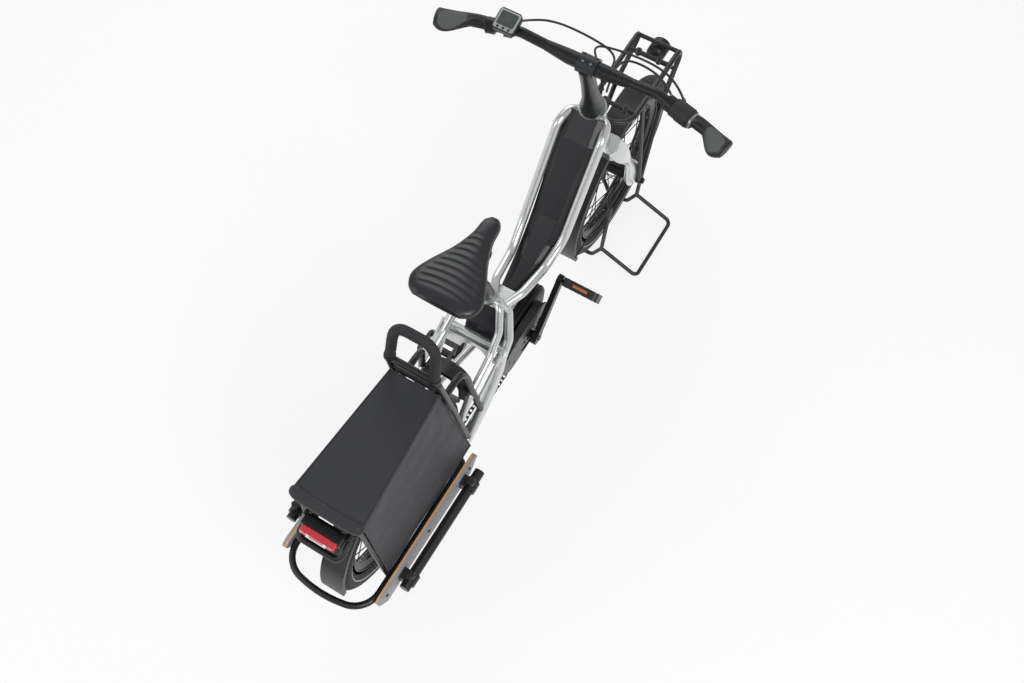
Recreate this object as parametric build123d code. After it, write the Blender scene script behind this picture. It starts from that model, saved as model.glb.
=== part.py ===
# Electric cargo bike: short long-tail frame on 20 inch wheels, held by a wire display stand.
# X runs forward, Y to the rider's left, Z up from the floor; all sizes are millimetres and degrees.
# Everything is laid out from the rear axle, and is moved at the end so that the origin lies
# on the floor below the middle of the whole bike.
from build123d import *
import math
import os

os.makedirs("parts", exist_ok=True)

# Wheels and tyres
WHEELBASE = 1102.0
TYRE_R = 263.0
TYRE_W = 58.0
TYRE_H = 56.0
RIM_R = TYRE_R - TYRE_H
RIM_W = 34.0
RIM_DEPTH = 19.0
RIM_INNER_W = 16.0
SPOKES_PER_SIDE = 16
SPOKE_R = 1.3
SPOKE_SWEEP = 42.0
SPOKE_SPREAD = 2.2
AXLE_R = 7.5
FRONT_HUB_R = 17.0
FRONT_HUB_W = 74.0
FRONT_FLANGE_R = 29.0
REAR_HUB_R = 44.0
REAR_HUB_W = 88.0
REAR_FLANGE_R = 52.0
FLANGE_T = 5.0
DISC_R = 88.0
DISC_T = 2.4
DISC_BORE_R = 62.0
DISC_ARMS = 6
DISC_ARM_W = 12.0
CALIPER_L = 62.0
CALIPER_W = 20.0
CALIPER_OUT = 4.0
CALIPER_H = 24.0
CALIPER_GAP = 2.0
CALIPER_TURN = 42.0
CALIPER_LEAN = 24.0
SPROCKET_R = 44.0
SPROCKET_T = 12.0

# Steering geometry
HEAD_ANGLE = 69.5
FORK_OFFSET = 47.0
CROWN_RISE = 49.0
CROWN_H = 48.0
HEAD_GAP = 8.0
HEAD_L = 184.0
CROWN_LOW = TYRE_R + CROWN_RISE
CROWN_HIGH = CROWN_LOW + CROWN_H
HEAD_LOW = CROWN_HIGH + HEAD_GAP
HEAD_HIGH = HEAD_LOW + HEAD_L
HEAD_R = 29.0
HEAD_CUP_R = 28.0
STEERER_R = 14.3
BEARING_GAP = 0.4
HEADSET_H = 14.0
HEADSET_R = 32.0
STEM_RISE = 235.0
STEM_TOP = HEAD_HIGH + STEM_RISE
STEM_BASE_R = 28.0
STEM_R = 20.0
STEM_WAIST_R = 17.0
STEM_BASE_H = 30.0
STEM_NECK_H = 34.0
BAR_FORWARD = 8.0
CLAMP_R = 21.0
CLAMP_HALF = 21.0

# Fork
LEG_Y_LOW = 58.0
LEG_Y_HIGH = 53.0
LEG_BELOW_AXLE = 30.0
LEG_HALF_T = 11.0
LEG_ROOT_HALF_T = 12.0
LEG_HALF_D_LOW = 20.0
LEG_HALF_D_HIGH = 24.0
CROWN_HALF_D = 25.0
AXLE_KNOB_R = 11.0
AXLE_KNOB_OUT = 9.0

# Handlebar and what it carries
BAR_W = 676.0
BAR_CENTRE_R = 15.9
BAR_R = 11.1
BAR_CENTRE_HALF = 46.0
BAR_TAPER = 52.0
GRIP_RUN = 180.0
BAR_KNEE_Y = BAR_W / 2 - GRIP_RUN
BAR_RISE = 13.0
BAR_SWEEP = 46.0
BAR_BEND_R = 60.0
GRIP_LEN = 110.0
GRIP_R = 16.0
GRIP_END_T = 4.0
GRIP_CAP_T = 3.0
SHIFTER_LEN = 46.0
SHIFTER_R = 19.5
SHIFTER_RIB = 1.5
SHIFTER_GAP = 2.0
BRAKE_CLAMP_W = 16.0
BRAKE_CLAMP_R = 17.0
BRAKE_LEVER_R = 4.6
BRAKE_LEVER_REACH = 42.0
BRAKE_LEVER_DROP = 40.0
BRAKE_LEVER_LEN = 96.0
BRAKE_BODY_R = 7.5
DISPLAY_W = 52.0
DISPLAY_L = 48.0
DISPLAY_T = 14.0
DISPLAY_RISE = 30.0
DISPLAY_BACK = 10.0
DISPLAY_GAP = 10.0
DISPLAY_TILT = 20.0
CABLE_R = 2.5

# Front rack on the fork
RACK_ABOVE = 100.0
RACK_REACH = 169.0
RACK_Z = TYRE_R * 2 + RACK_ABOVE
RACK_FRONT_X = WHEELBASE + RACK_REACH
RACK_HALF_W = 56.0
RACK_TUBE_R = 6.5
RACK_CORNER_R = 22.0
RACK_REAR_GAP = 16.0
RACK_FOOT_Y = 79.0
RACK_KNEE_REACH = 62.0
RACK_KNEE_DROP = 126.0
RACK_BOSS_R = 8.0
RACK_BOLT_R = 3.2
RACK_BOSS_SHARES = (0.16, 0.72)
RACK_BAR_R = 5.5
LAMP_R = 24.0
LAMP_L = 44.0
LAMP_DROP = 40.0
LAMP_SETBACK = 26.0

# Mudguards
GUARD_GAP = 7.0
GUARD_T = 3.0
GUARD_W = 61.0
GUARD_LIP = 9.0
FRONT_GUARD_FROM = 76.0
FRONT_GUARD_TO = 208.0
REAR_GUARD_FROM = 24.0
REAR_GUARD_TO = 184.0
GUARD_STAY_R = 2.4

# Display stand under the front wheel
STAND_WIRE_R = 5.5
STAND_CENTRE_BACK = 12.0
STAND_HALF_L = 107.0
STAND_OUT_Y = 172.0
STAND_IN_Y = 54.0
STAND_IN_Z = 56.0
STAND_POST_H = 206.0
STAND_BEND_R = 16.0

# Main frame
SIDE_RAIL_R = 11.0
RAIL_HEAD_Y = 36.0
RAIL_WIDE_Y = 55.5
RAIL_LOW_Y = 37.0
RAIL_BEND_R = 110.0
RAIL_LOW_BACK = 7.0
RAIL_LOW_RISE = 187.0
BB_X = 522.0
BB_RISE = 37.0
BB_Z = TYRE_R + BB_RISE
SEAT_ANGLE = 70.0
SEAT_TUBE_R = 19.0
SEAT_TUBE_TOP = 336.0
SEAT_TUBE_LOW = 56.0
SEAT_POST_R = 15.4
SEAT_POST_TOP = 572.0
SEAT_POST_IN = 90.0
COLLAR_H = 20.0
COLLAR_T = 6.0
LEVER_L = 58.0
LEVER_T = 6.0
LEVER_W = 12.0
STAY_R = 10.5
STAY_INNER_R = 9.0
STAY_LOWER_R = 10.0
STAY_WIDE_Y = 80.0
STAY_INNER_Y = 62.0
STAY_PLATE_T = 5.0
STAY_SLOT_W = 7.0
BRIDGE_T = 12.0
BRIDGE_H = 66.0
BRIDGE_ARCH_R = 36.0
DROPOUT_Y = 72.0
DROPOUT_T = 8.0
DROPOUT_R = 26.0
CHAINSTAY_R = 10.0
BEAM_R = 14.0

# Battery and motor
BATTERY_HALF_W = 47.0
BATTERY_CHAMFER = 9.0
COVER_ABOVE = 22.5
COVER_BACK = 24.6
COVER_LOW_AHEAD = 5.0
COVER_LOW_RISE = 160.0
COVER_DEPTH = 52.0
CASE_DEPTH = 40.0
CASE_HALF_W = 36.0
PLATE_HALF_W = 33.0
PLATE_T = 4.0
PLATE_L = 40.0
COVER_SEAM = 0.5
MOTOR_L = 190.0
MOTOR_H = 140.0
MOTOR_HALF_W = 46.0
MOTOR_ROUND = 26.0
SPINDLE_GAP = 1.5

# Crank and pedals
CRANK_L = 170.0
CRANK_ANGLE = 55.0
CRANK_T = 14.0
CRANK_IN_Y = 78.0
CRANK_EYE_R = 13.0
CRANK_BOSS_R = 20.0
SPINDLE_R = 11.0
CHAINRING_R = 62.0
CHAINRING_T = 6.0
CHAIN_Y = 58.0
PEDAL_W = 92.0
PEDAL_L = 78.0
PEDAL_T = 22.0
PEDAL_GAP = 7.0
PEDAL_BAR = 9.0
PEDAL_PIN_R = 5.0
PEDAL_TURNS = {-1: 61.0, 1: 8.0}
RING_HOLES = 5
RING_HOLE_R = 15.0
BELT_T = 6.0
BELT_W = 9.0
BELT_GAP = 0.6
GUARD_HALF_H = 62.0
GUARD_CENTRES = 92.0
GUARD_BACK = 30.0
GUARD_RISE = 24.0
GUARD_BRACKET_R = 4.5
GUARD_PLATE_T = 4.0
GUARD_PLATE_Y = 66.5
GUARD_RIM_T = 3.0
GUARD_RIM_W = 16.0
GUARD_OPEN_R = 34.0
GUARD_OPEN_L = 34.0

# Saddle
SADDLE_NOSE_X = 421.0
SADDLE_L = 229.0
SADDLE_HALF_W = 80.0
SADDLE_TOP = 905.0
SADDLE_T = 42.0
SADDLE_RAIL_R = 3.6
SADDLE_RAIL_Y = 22.0

# Rear carrier, hoop and fabric cover
DECK_CLEAR = 86.0
DECK_Z = TYRE_R * 2 + DECK_CLEAR
DECK_TUBE_R = 8.0
DECK_FRONT_X = 214.0
DECK_REAR_X = -238.0
DECK_HALF_W = 52.0
DECK_CROSS_SHARES = (0.01, 0.27, 0.53, 0.8)
COVER_H = 87.0
COVER_TOP_Z = DECK_Z + COVER_H
COVER_FRONT_X = 102.0
COVER_FRONT_LOW_X = 160.0
COVER_REAR_X = -230.0
COVER_REAR_LOW_X = -208.0
COVER_FRONT_HALF_W = 60.0
COVER_REAR_HALF_W = 84.0
COVER_DROP = 327.0
COVER_LOW_Z = COVER_TOP_Z - COVER_DROP
COVER_LOW_HALF_W = 110.0
HEM_R = 13.0
COVER_T = 3.0
RING_TUBE_R = 7.5
HOOP_X = 99.0
HOOP_RISE = 67.0
HOOP_Z = COVER_TOP_Z + HOOP_RISE
HOOP_HALF_W = 60.0
HANDLE_R = 12.0
HANDLE_RISE = 116.0
TAIL_LAMP_W = 84.0
TAIL_LAMP_H = 22.0
TAIL_LAMP_T = 14.0
TAIL_CASE_T = 12.0
TAIL_CASE_RIM = 5.0
TAIL_LOOP_DROP = 38.0
TAIL_LOOP_OUT = 22.0
BUMPER_REACH = 312.0
BUMPER_BULGE = 20.0
LOCK_R = 54.0
LOCK_WALL = 15.0
LOCK_L = 36.0
LOCK_X = 238.0
LOCK_Z = 478.0
LOCK_LEG = 34.0
SPLASH_T = 3.0
SPLASH_HALF_W = 38.0
BUMPER_R = 8.0

# Side boards and foot bars
BOARD_Y = 120.0
BOARD_T = 12.0
BOARD_RISE = 97.0
BOARD_TOP = TYRE_R + BOARD_RISE
BOARD_H = 66.0
BOARD_FRONT_X = 158.0
BOARD_REAR_X = -270.0
BOARD_CUT = 34.0
FOOT_BAR_R = 12.5
FOOT_BAR_Y = 155.0
FOOT_BAR_DROP = 26.0
FOOT_BAR_Z = BOARD_TOP - FOOT_BAR_DROP
FOOT_BAR_FRONT_X = 128.0
FOOT_BAR_REAR_X = -202.0
CLAMP_BLOCK = 28.0
CLAMP_KNOB_R = 10.0
CLAMP_KNOB_H = 14.0
LOWER_TUBE_Y = BOARD_Y - BUMPER_R
LOWER_TUBE_Z = BOARD_TOP - BOARD_H * 0.42

# Small gap between pieces of one body, and the overrun of every cut
SEAT_GAP = 0.3
OVERRUN = 4.0

# Points and directions that many pieces share
REAR_AXLE = Vector(0, 0, TYRE_R)
FRONT_AXLE = Vector(WHEELBASE, 0, TYRE_R)
HEAD_DIR = Vector(-math.cos(math.radians(HEAD_ANGLE)), 0, math.sin(math.radians(HEAD_ANGLE)))
HEAD_FWD = Vector(math.sin(math.radians(HEAD_ANGLE)), 0, math.cos(math.radians(HEAD_ANGLE)))
HEAD_FOOT = FRONT_AXLE - HEAD_FWD * FORK_OFFSET
SEAT_DIR = Vector(-math.cos(math.radians(SEAT_ANGLE)), 0, math.sin(math.radians(SEAT_ANGLE)))
BOTTOM_BRACKET = Vector(BB_X, 0, BB_Z)
FRONT_REACH = WHEELBASE + TYRE_R
REAR_REACH = BUMPER_REACH + BUMPER_R
MIDDLE_X = (FRONT_REACH - REAR_REACH) / 2


def on_head(up, forward=0, left=0):
    """Point at a height along the steering axis, set forward of it and to its left."""
    return HEAD_FOOT + HEAD_DIR * up + HEAD_FWD * forward + Vector(0, left, 0)


def on_seat(up, left=0):
    """Point at a height along the seat tube, measured from the bottom bracket."""
    return BOTTOM_BRACKET + SEAT_DIR * up + Vector(0, left, 0)


def mix(start, end, share):
    """Value a share of the way from one size or point to another."""
    return start + (end - start) * share


def bent_bar(points, radius, bend):
    """Round bar along straight runs that tangent arcs join."""
    if len(points) == 2:
        path = Line(*points)
    else:
        path = FilletPolyline(*points, radius=bend)
    return sweep(Plane(origin=path @ 0, z_dir=path % 0) * Circle(radius), path=path)


def straight_bar(start, end, radius):
    """Round bar from one point to another."""
    length = (end - start).length
    centred = (Align.CENTER, Align.CENTER, Align.MIN)
    return Plane(origin=start, z_dir=end - start) * Cylinder(radius, length, align=centred)


def cross_bar(centre, radius, half_length):
    """Round bar across the bike through a point."""
    return straight_bar(centre - Vector(0, half_length, 0), centre + Vector(0, half_length, 0), radius)


def lathe(rows):
    """Solid turned about the Y axis from rows of axial place and radius."""
    outline = [(0, rows[0][0])] + [(radius, axial) for axial, radius in rows] + [(0, rows[-1][0])]
    return revolve(make_face(Polyline(*outline, close=True)), axis=Axis.Y)


def both_sides(shape):
    """The shape and its mirror image across the bike's middle plane."""
    return shape + mirror(shape, about=Plane.XZ)


def biggest(shape):
    """The largest solid of a shape, without what a cut has split off."""
    return max(shape.solids(), key=lambda piece: piece.volume)


def side_plate(outline, left, thickness):
    """Plate standing along the bike from an outline of X and Z points, its inner face at a Y."""
    face = make_face(Polyline(*[Vector(x, left, z) for x, z in outline], close=True))
    return extrude(face, amount=thickness, dir=(0, math.copysign(1, left), 0))


def keep(name, shape):
    """Write one piece, moved so that the origin is below the middle of the bike."""
    export_step(Pos(-MIDDLE_X, 0, 0) * shape, f"parts/{name}.step")


# Wheels

def tyre(hub):
    """Round-shouldered tyre on the rim."""
    crown = Pos(TYRE_R - TYRE_W / 2, 0) * Circle(TYRE_W / 2)
    rim_room = Pos(RIM_R / 2, 0) * Rectangle(RIM_R, TYRE_W)
    return Pos(*hub) * revolve(crown - rim_room, axis=Axis.Y)


def rim():
    """Hollow-backed rim ring."""
    inner = RIM_R - RIM_DEPTH
    outline = [(RIM_R, -RIM_W / 2), (RIM_R, RIM_W / 2), (inner, RIM_INNER_W / 2), (inner, -RIM_INNER_W / 2)]
    return revolve(make_face(Polyline(*outline, close=True)), axis=Axis.Y)


def spokes(flange_r, flange_y):
    """Crossed wire spokes from both flanges to the rim."""
    wires = []
    for side in (-1, 1):
        for number in range(SPOKES_PER_SIDE):
            lead = 1 if number % 2 else -1
            start = math.radians(360 / SPOKES_PER_SIDE * number + 90 / SPOKES_PER_SIDE * side)
            end = start + math.radians(SPOKE_SWEEP) * lead
            foot_y = side * (flange_y + lead * SPOKE_SPREAD)
            foot_r = flange_r - SPOKE_SPREAD
            top_r = RIM_R - RIM_DEPTH + SPOKE_SPREAD
            foot = Vector(foot_r * math.cos(start), foot_y, foot_r * math.sin(start))
            top = Vector(top_r * math.cos(end), side * SPOKE_SPREAD, top_r * math.sin(end))
            wires.append(straight_bar(foot, top, SPOKE_R))
    return wires


def wheel(hub, hub_r, hub_w, flange_r, drive_side=False):
    """Rim, spokes and hub as one wire wheel, bored for its axle."""
    half = hub_w / 2
    rows = [(-half, hub_r), (half, hub_r)]
    core = lathe(rows)
    flange_y = half - FLANGE_T
    for side in (-1, 1):
        near, far = sorted((side * (flange_y - FLANGE_T / 2), side * (flange_y + FLANGE_T / 2)))
        core += lathe([(near, flange_r), (far, flange_r)])
    if drive_side:
        core += lathe([(-CHAIN_Y - SPROCKET_T / 2, hub_r * 0.5), (0, hub_r * 0.5)])
        core += lathe([(-CHAIN_Y - CHAINRING_T / 2, SPROCKET_R), (-CHAIN_Y + CHAINRING_T / 2, SPROCKET_R)])
    core += rim()
    core += spokes(flange_r, flange_y)
    core -= lathe([(-hub_w, AXLE_R + BEARING_GAP), (hub_w, AXLE_R + BEARING_GAP)])
    return Pos(*hub) * core


def brake_disc(hub, hub_w, hub_r):
    """Brake disc with its arms on the left of the hub."""
    near = hub_w / 2
    far = near + DISC_T
    ring = lathe([(near, DISC_R), (far, DISC_R)])
    ring -= lathe([(near - OVERRUN, DISC_BORE_R), (far + OVERRUN, DISC_BORE_R)])
    centre = lathe([(near, hub_r), (far, hub_r)])
    for number in range(DISC_ARMS):
        turn = Rot(0, 360 / DISC_ARMS * number, 0)
        middle = (DISC_BORE_R + hub_r) / 2
        arm = Box(DISC_BORE_R - hub_r + DISC_ARM_W, DISC_T, DISC_ARM_W)
        centre += turn * Pos(middle, near + DISC_T / 2, 0) * arm
    centre -= lathe([(near - OVERRUN, AXLE_R + BEARING_GAP), (far + OVERRUN, AXLE_R + BEARING_GAP)])
    return Pos(*hub) * (ring + centre)


def caliper(hub, hub_w, turn):
    """Brake caliper astride the disc at an angle round the hub, measured from the rear upwards."""
    near = hub_w / 2 + DISC_T / 2 + CALIPER_OUT
    body = fillet(Box(CALIPER_L, CALIPER_W, CALIPER_H).edges().filter_by(Axis.Y), radius=CALIPER_H / 3)
    body = Pos(-DISC_R, near, 0) * Rot(0, CALIPER_LEAN, 0) * body
    body = Rot(0, turn, 0) * body
    return Pos(*hub) * (body - disc_room(hub_w))


def disc_room(hub_w):
    """Room for a turning disc between the pads."""
    near = hub_w / 2
    return lathe([(near - CALIPER_GAP, DISC_R + CALIPER_GAP), (near + DISC_T + CALIPER_GAP, DISC_R + CALIPER_GAP)])


# Steering

def fork_leg():
    """Moulded fork leg, broad at the crown and rounded past the axle."""
    leg_top = CROWN_HIGH - LEG_HALF_T
    shoulder_y = mix(LEG_Y_HIGH, LEG_Y_LOW, 1.4)
    # share of the height from axle to crown, share of the offset, side, half thickness, half depth
    rows = ((-LEG_BELOW_AXLE / leg_top, 1.0, LEG_Y_LOW, LEG_HALF_T * 0.7, LEG_HALF_D_LOW * 0.55),
            (-LEG_BELOW_AXLE * 0.6 / leg_top, 1.0, LEG_Y_LOW, LEG_HALF_T, LEG_HALF_D_LOW),
            (0.35, 0.78, LEG_Y_LOW, LEG_HALF_T, LEG_HALF_D_LOW),
            (0.8, 0.22, shoulder_y, LEG_ROOT_HALF_T, LEG_HALF_D_HIGH * 0.95),
            (1.0, 0.0, LEG_Y_HIGH * 0.8, LEG_ROOT_HALF_T, LEG_HALF_D_HIGH))
    sections = []
    for up_share, offset_share, left, half_t, half_d in rows:
        centre = on_head(leg_top * up_share, FORK_OFFSET * offset_share, left)
        sections.append(Plane(origin=centre, x_dir=HEAD_FWD, z_dir=HEAD_DIR) * Ellipse(half_d, half_t))
    return loft(sections)


def fork():
    """Fork with both legs, crown, steerer and dropout axle."""
    crown_h = CROWN_HIGH - CROWN_LOW
    place = Plane(origin=on_head(CROWN_LOW), x_dir=HEAD_FWD, z_dir=HEAD_DIR)
    block = Box(CROWN_HALF_D * 2, LEG_Y_HIGH * 2, crown_h, align=(Align.CENTER, Align.CENTER, Align.MIN))
    block = fillet(block.edges().filter_by(Axis.Z), radius=CROWN_HALF_D / 2)
    steerer = straight_bar(on_head(CROWN_LOW), on_head(HEAD_HIGH + HEADSET_H + STEM_BASE_H), STEERER_R)
    body = both_sides(fork_leg()) + place * block + steerer
    axle = cross_bar(FRONT_AXLE, AXLE_R, LEG_Y_LOW + LEG_HALF_T + AXLE_KNOB_OUT)
    return body + axle


def stem():
    """Upright stem that rises along the steering axis to the bar clamp."""
    base = HEAD_HIGH + HEADSET_H + SEAT_GAP
    neck = base + STEM_BASE_H + STEM_NECK_H
    # height along the axis and radius
    rows = ((base, STEM_BASE_R), (base + STEM_BASE_H * 0.7, STEM_BASE_R * 0.98), (base + STEM_BASE_H, STEM_BASE_R * 0.9),
            (neck, STEM_R), (mix(neck, STEM_TOP, 0.5), STEM_WAIST_R), (STEM_TOP, STEM_WAIST_R * 1.04))
    outline = [(0, rows[0][0])] + [(radius, up) for up, radius in rows] + [(0, rows[-1][0])]
    body = revolve(make_face(Polyline(*outline, close=True)), axis=Axis.Y)
    upright = Plane(origin=HEAD_FOOT, x_dir=HEAD_FWD, z_dir=Vector(0, -1, 0)) * body
    steerer_room = straight_bar(on_head(base - OVERRUN),
                                on_head(HEAD_HIGH + HEADSET_H + STEM_BASE_H + OVERRUN), STEERER_R + SEAT_GAP)
    clamp = cross_bar(on_head(STEM_TOP, BAR_FORWARD), CLAMP_R, CLAMP_HALF)
    bar_room = cross_bar(on_head(STEM_TOP, BAR_FORWARD), BAR_CENTRE_R + SEAT_GAP, CLAMP_HALF + OVERRUN)
    return upright + clamp - steerer_room - bar_room


BAR_CENTRE = on_head(STEM_TOP, BAR_FORWARD)
BAR_KNEE = BAR_CENTRE + Vector(-BAR_SWEEP * 0.1, BAR_KNEE_Y, BAR_RISE)
BAR_END = BAR_CENTRE + Vector(-BAR_SWEEP, BAR_W / 2 - GRIP_END_T, BAR_RISE * 0.5)
GRIP_DIR = (BAR_END - BAR_KNEE).normalized()


def on_grip(back):
    """Point on the left end of the bar, measured inwards from its tip."""
    return BAR_END - GRIP_DIR * back


def grip_plane(back):
    """Plane across the left end of the bar, X to the rear."""
    return Plane(origin=on_grip(back), x_dir=Vector(-1, 0, 0) - GRIP_DIR * Vector(-1, 0, 0).dot(GRIP_DIR),
                 z_dir=GRIP_DIR)


def handlebar():
    """Bar with a thick middle that tapers into two swept ends."""
    middle = cross_bar(BAR_CENTRE, BAR_CENTRE_R, BAR_CENTRE_HALF)
    start = BAR_CENTRE + Vector(0, BAR_CENTRE_HALF, 0)
    taper_end = start + (BAR_KNEE - start).normalized() * BAR_TAPER
    side = bent_bar([start, BAR_KNEE, BAR_END], BAR_R, [BAR_BEND_R])
    across = Plane(origin=start, x_dir=Vector(1, 0, 0), z_dir=Vector(0, 1, 0))
    far = Plane(origin=taper_end, x_dir=Vector(1, 0, 0), z_dir=BAR_KNEE - start)
    side += loft([across * Circle(BAR_CENTRE_R), far * Circle(BAR_R + SEAT_GAP)])
    return middle + both_sides(side)


def grip(length):
    """Grip with a palm rest that flares to the rear near its end."""
    # share of the length from the inner end, half depth share, half height share, rear shift share
    rows = ((0.0, 1.0, 1.0, 0.0), (0.45, 1.0, 1.0, 0.0), (0.8, 1.7, 1.05, 0.75), (1.0, 1.45, 1.0, 0.5))
    sections = []
    for share, depth, height, shift in rows:
        centre = grip_plane(length * (1 - share))
        sections.append(centre * Pos(GRIP_R * shift, 0) * Ellipse(GRIP_R * depth, GRIP_R * height))
    body = loft(sections)
    cap_plane = grip_plane(0)
    body += extrude(cap_plane * Pos(GRIP_R * 0.5, 0) * Ellipse(GRIP_R * 1.3, GRIP_R * 0.9), amount=GRIP_CAP_T)
    return body - straight_bar(on_grip(length + OVERRUN), on_grip(0), BAR_R + SEAT_GAP)


def brake_lever(back):
    """Clamp, body and blade of one brake lever, its clamp at a distance from the bar's tip."""
    clamp = straight_bar(on_grip(back), on_grip(back - BRAKE_CLAMP_W), BRAKE_CLAMP_R)
    forward = Vector(BRAKE_LEVER_REACH, 0, -BRAKE_LEVER_DROP)
    pivot = on_grip(back - BRAKE_CLAMP_W / 2) + forward * 0.62
    clamp += straight_bar(on_grip(back - BRAKE_CLAMP_W / 2) + forward * 0.2, pivot, BRAKE_BODY_R)
    tip = on_grip(back - BRAKE_LEVER_LEN) + forward
    blade = bent_bar([pivot, mix(pivot, tip, 0.22) + forward * 0.18, tip], BRAKE_LEVER_R, [BRAKE_LEVER_REACH / 2])
    clamp += blade
    return clamp - straight_bar(on_grip(back + BRAKE_CLAMP_W), on_grip(0), BAR_R + SEAT_GAP)


def twist_shifter(back):
    """Twist shifter beside the right grip, built on the left and mirrored later."""
    body = straight_bar(on_grip(back), on_grip(back - SHIFTER_LEN), SHIFTER_R)
    ribs = straight_bar(on_grip(back - SHIFTER_LEN * 0.35), on_grip(back - SHIFTER_LEN * 0.9), SHIFTER_R + SHIFTER_RIB)
    return body + ribs - straight_bar(on_grip(back + OVERRUN), on_grip(0), BAR_R + SEAT_GAP)


def display():
    """Small display on a clamp over the bar, inboard of the left lever."""
    back = GRIP_LEN + BRAKE_CLAMP_W * 2 + SHIFTER_GAP * 2 + DISPLAY_GAP
    centre = on_grip(back)
    lifted = centre + Vector(-DISPLAY_BACK, 0, DISPLAY_RISE)
    case = Box(DISPLAY_L, DISPLAY_W, DISPLAY_T)
    case = fillet(case.edges().filter_by(Axis.Z), radius=DISPLAY_T * 0.6)
    case = Pos(*lifted) * Rot(0, -DISPLAY_TILT, 0) * case
    band = straight_bar(centre - GRIP_DIR * BRAKE_CLAMP_W / 2, centre + GRIP_DIR * BRAKE_CLAMP_W / 2, BRAKE_CLAMP_R)
    neck = straight_bar(centre, Vector(centre.X, centre.Y, lifted.Z), BRAKE_BODY_R)
    return case + band + neck - straight_bar(on_grip(back + DISPLAY_W), on_grip(back - DISPLAY_W), BAR_R + SEAT_GAP)


def cable(points):
    """Brake hose or gear cable as straight runs that wide arcs join."""
    radii = []
    for before, here, after in zip(points, points[1:], points[2:]):
        turn = (here - before).get_angle(after - here)
        shorter = min((here - before).length, (after - here).length)
        radii.append(0.45 * shorter / math.tan(math.radians(turn) / 2))
    return bent_bar(points, CABLE_R, radii)


def control_cables():
    """Two brake hoses and one gear cable from the bar's controls to the foot of the stem."""
    ahead = Vector(BRAKE_LEVER_REACH, 0, 0)
    foot = on_head(HEAD_HIGH + HEADSET_H + STEM_BASE_H / 2, STEM_BASE_R + CABLE_R)
    cables = []
    # share of the bar's half width, forward share, rise share of the first and second bend, foot side in cable widths
    rows = ((0.42, 0.55, 0.30, 1.5, 1, 1), (0.40, 0.62, 0.42, -1.5, -1, 1), (0.36, 0.44, 0.2, 4.5, -1, -1))
    for start_share, forward, rise, foot_side, side, cross in rows:
        start = BAR_CENTRE + Vector(0, side * BAR_W * start_share, 0) + ahead * 0.55
        start = Vector(start.X, start.Y, start.Z - BRAKE_LEVER_DROP * 0.2)
        bend = BAR_CENTRE + ahead * (1 + forward) + Vector(0, side * BAR_W * 0.2, BAR_RISE * rise)
        over = BAR_CENTRE + ahead * (1.2 + forward) + Vector(0, -side * cross * BAR_W * 0.06, -BRAKE_LEVER_DROP * 0.5)
        turn = mix(over, foot, 0.55) + ahead * 0.5 + Vector(0, -side * cross * BAR_W * 0.03, 0)
        end = foot + Vector(0, CABLE_R * foot_side * 1.4, 0)
        cables.append(cable([start, bend, over, turn, end]))
    return cables[0] + cables[1] + cables[2]


def head_front_x(height):
    """X of the head tube's front at a height over the floor."""
    up = (height - HEAD_FOOT.Z) / HEAD_DIR.Z
    return on_head(up, HEAD_R).X


def front_rack():
    """Bent-tube rack: one loop with struts to the axle, cross bars and a lamp plate."""
    rear_x = head_front_x(RACK_Z) + RACK_REAR_GAP
    foot = Vector(WHEELBASE, RACK_FOOT_Y, TYRE_R)
    knee = Vector(WHEELBASE + RACK_KNEE_REACH, mix(RACK_FOOT_Y, RACK_HALF_W, 0.6), RACK_Z - RACK_KNEE_DROP)
    corner = Vector(RACK_FRONT_X, RACK_HALF_W, RACK_Z)
    rear = Vector(rear_x, RACK_HALF_W, RACK_Z)
    left = [foot, knee, corner, rear]
    right = [Vector(p.X, -p.Y, p.Z) for p in reversed(left)]
    round_r = RACK_HALF_W * 0.94
    loop = bent_bar(left + right, RACK_TUBE_R,
                    [RACK_HALF_W, RACK_CORNER_R, round_r, round_r, RACK_CORNER_R, RACK_HALF_W])
    # share of the run from the rear of the rack to its front
    for share in (RACK_BOSS_SHARES[0], RACK_BOSS_SHARES[1]):
        place = Vector(mix(rear_x, RACK_FRONT_X, share), 0, RACK_Z)
        loop += cross_bar(place, RACK_BAR_R, RACK_HALF_W)
        for side in (-1, 1):
            boss = place + Vector(0, side * RACK_HALF_W / 2, 0)
            up = Vector(0, 0, RACK_TUBE_R)
            loop += straight_bar(boss - up, boss + up, RACK_BOSS_R)
            loop -= straight_bar(boss - up * 2, boss + up * 2, RACK_BOLT_R)
    lean = math.atan2(RACK_KNEE_DROP, corner.X - knee.X)
    tangent = RACK_CORNER_R / math.tan(lean / 2)
    arc = Vector(corner.X - tangent, 0, RACK_Z - RACK_CORNER_R)
    front = arc + Vector(math.sin(math.pi / 4), 0, math.cos(math.pi / 4)) * RACK_CORNER_R
    loop += cross_bar(front, RACK_BAR_R, RACK_HALF_W)
    lamp_bar = mix(corner, knee, 0.42)
    loop += cross_bar(Vector(lamp_bar.X, 0, lamp_bar.Z), RACK_BAR_R * 0.9, lamp_bar.Y)
    strut_top = Vector(mix(rear_x, RACK_FRONT_X, 0.27), RACK_HALF_W, RACK_Z)
    strut_foot = Vector(WHEELBASE - AXLE_R, RACK_FOOT_Y, TYRE_R + AXLE_R)
    loop += both_sides(straight_bar(strut_top, strut_foot, RACK_BAR_R))
    eye = cross_bar(FRONT_AXLE, AXLE_KNOB_R, RACK_FOOT_Y + RACK_TUBE_R)
    eye -= cross_bar(FRONT_AXLE, AXLE_KNOB_R + OVERRUN, LEG_Y_LOW + LEG_HALF_T + SEAT_GAP)
    return biggest(loop + eye - cross_bar(FRONT_AXLE, AXLE_R + SEAT_GAP, RACK_FOOT_Y * 2) - fork())


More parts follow.
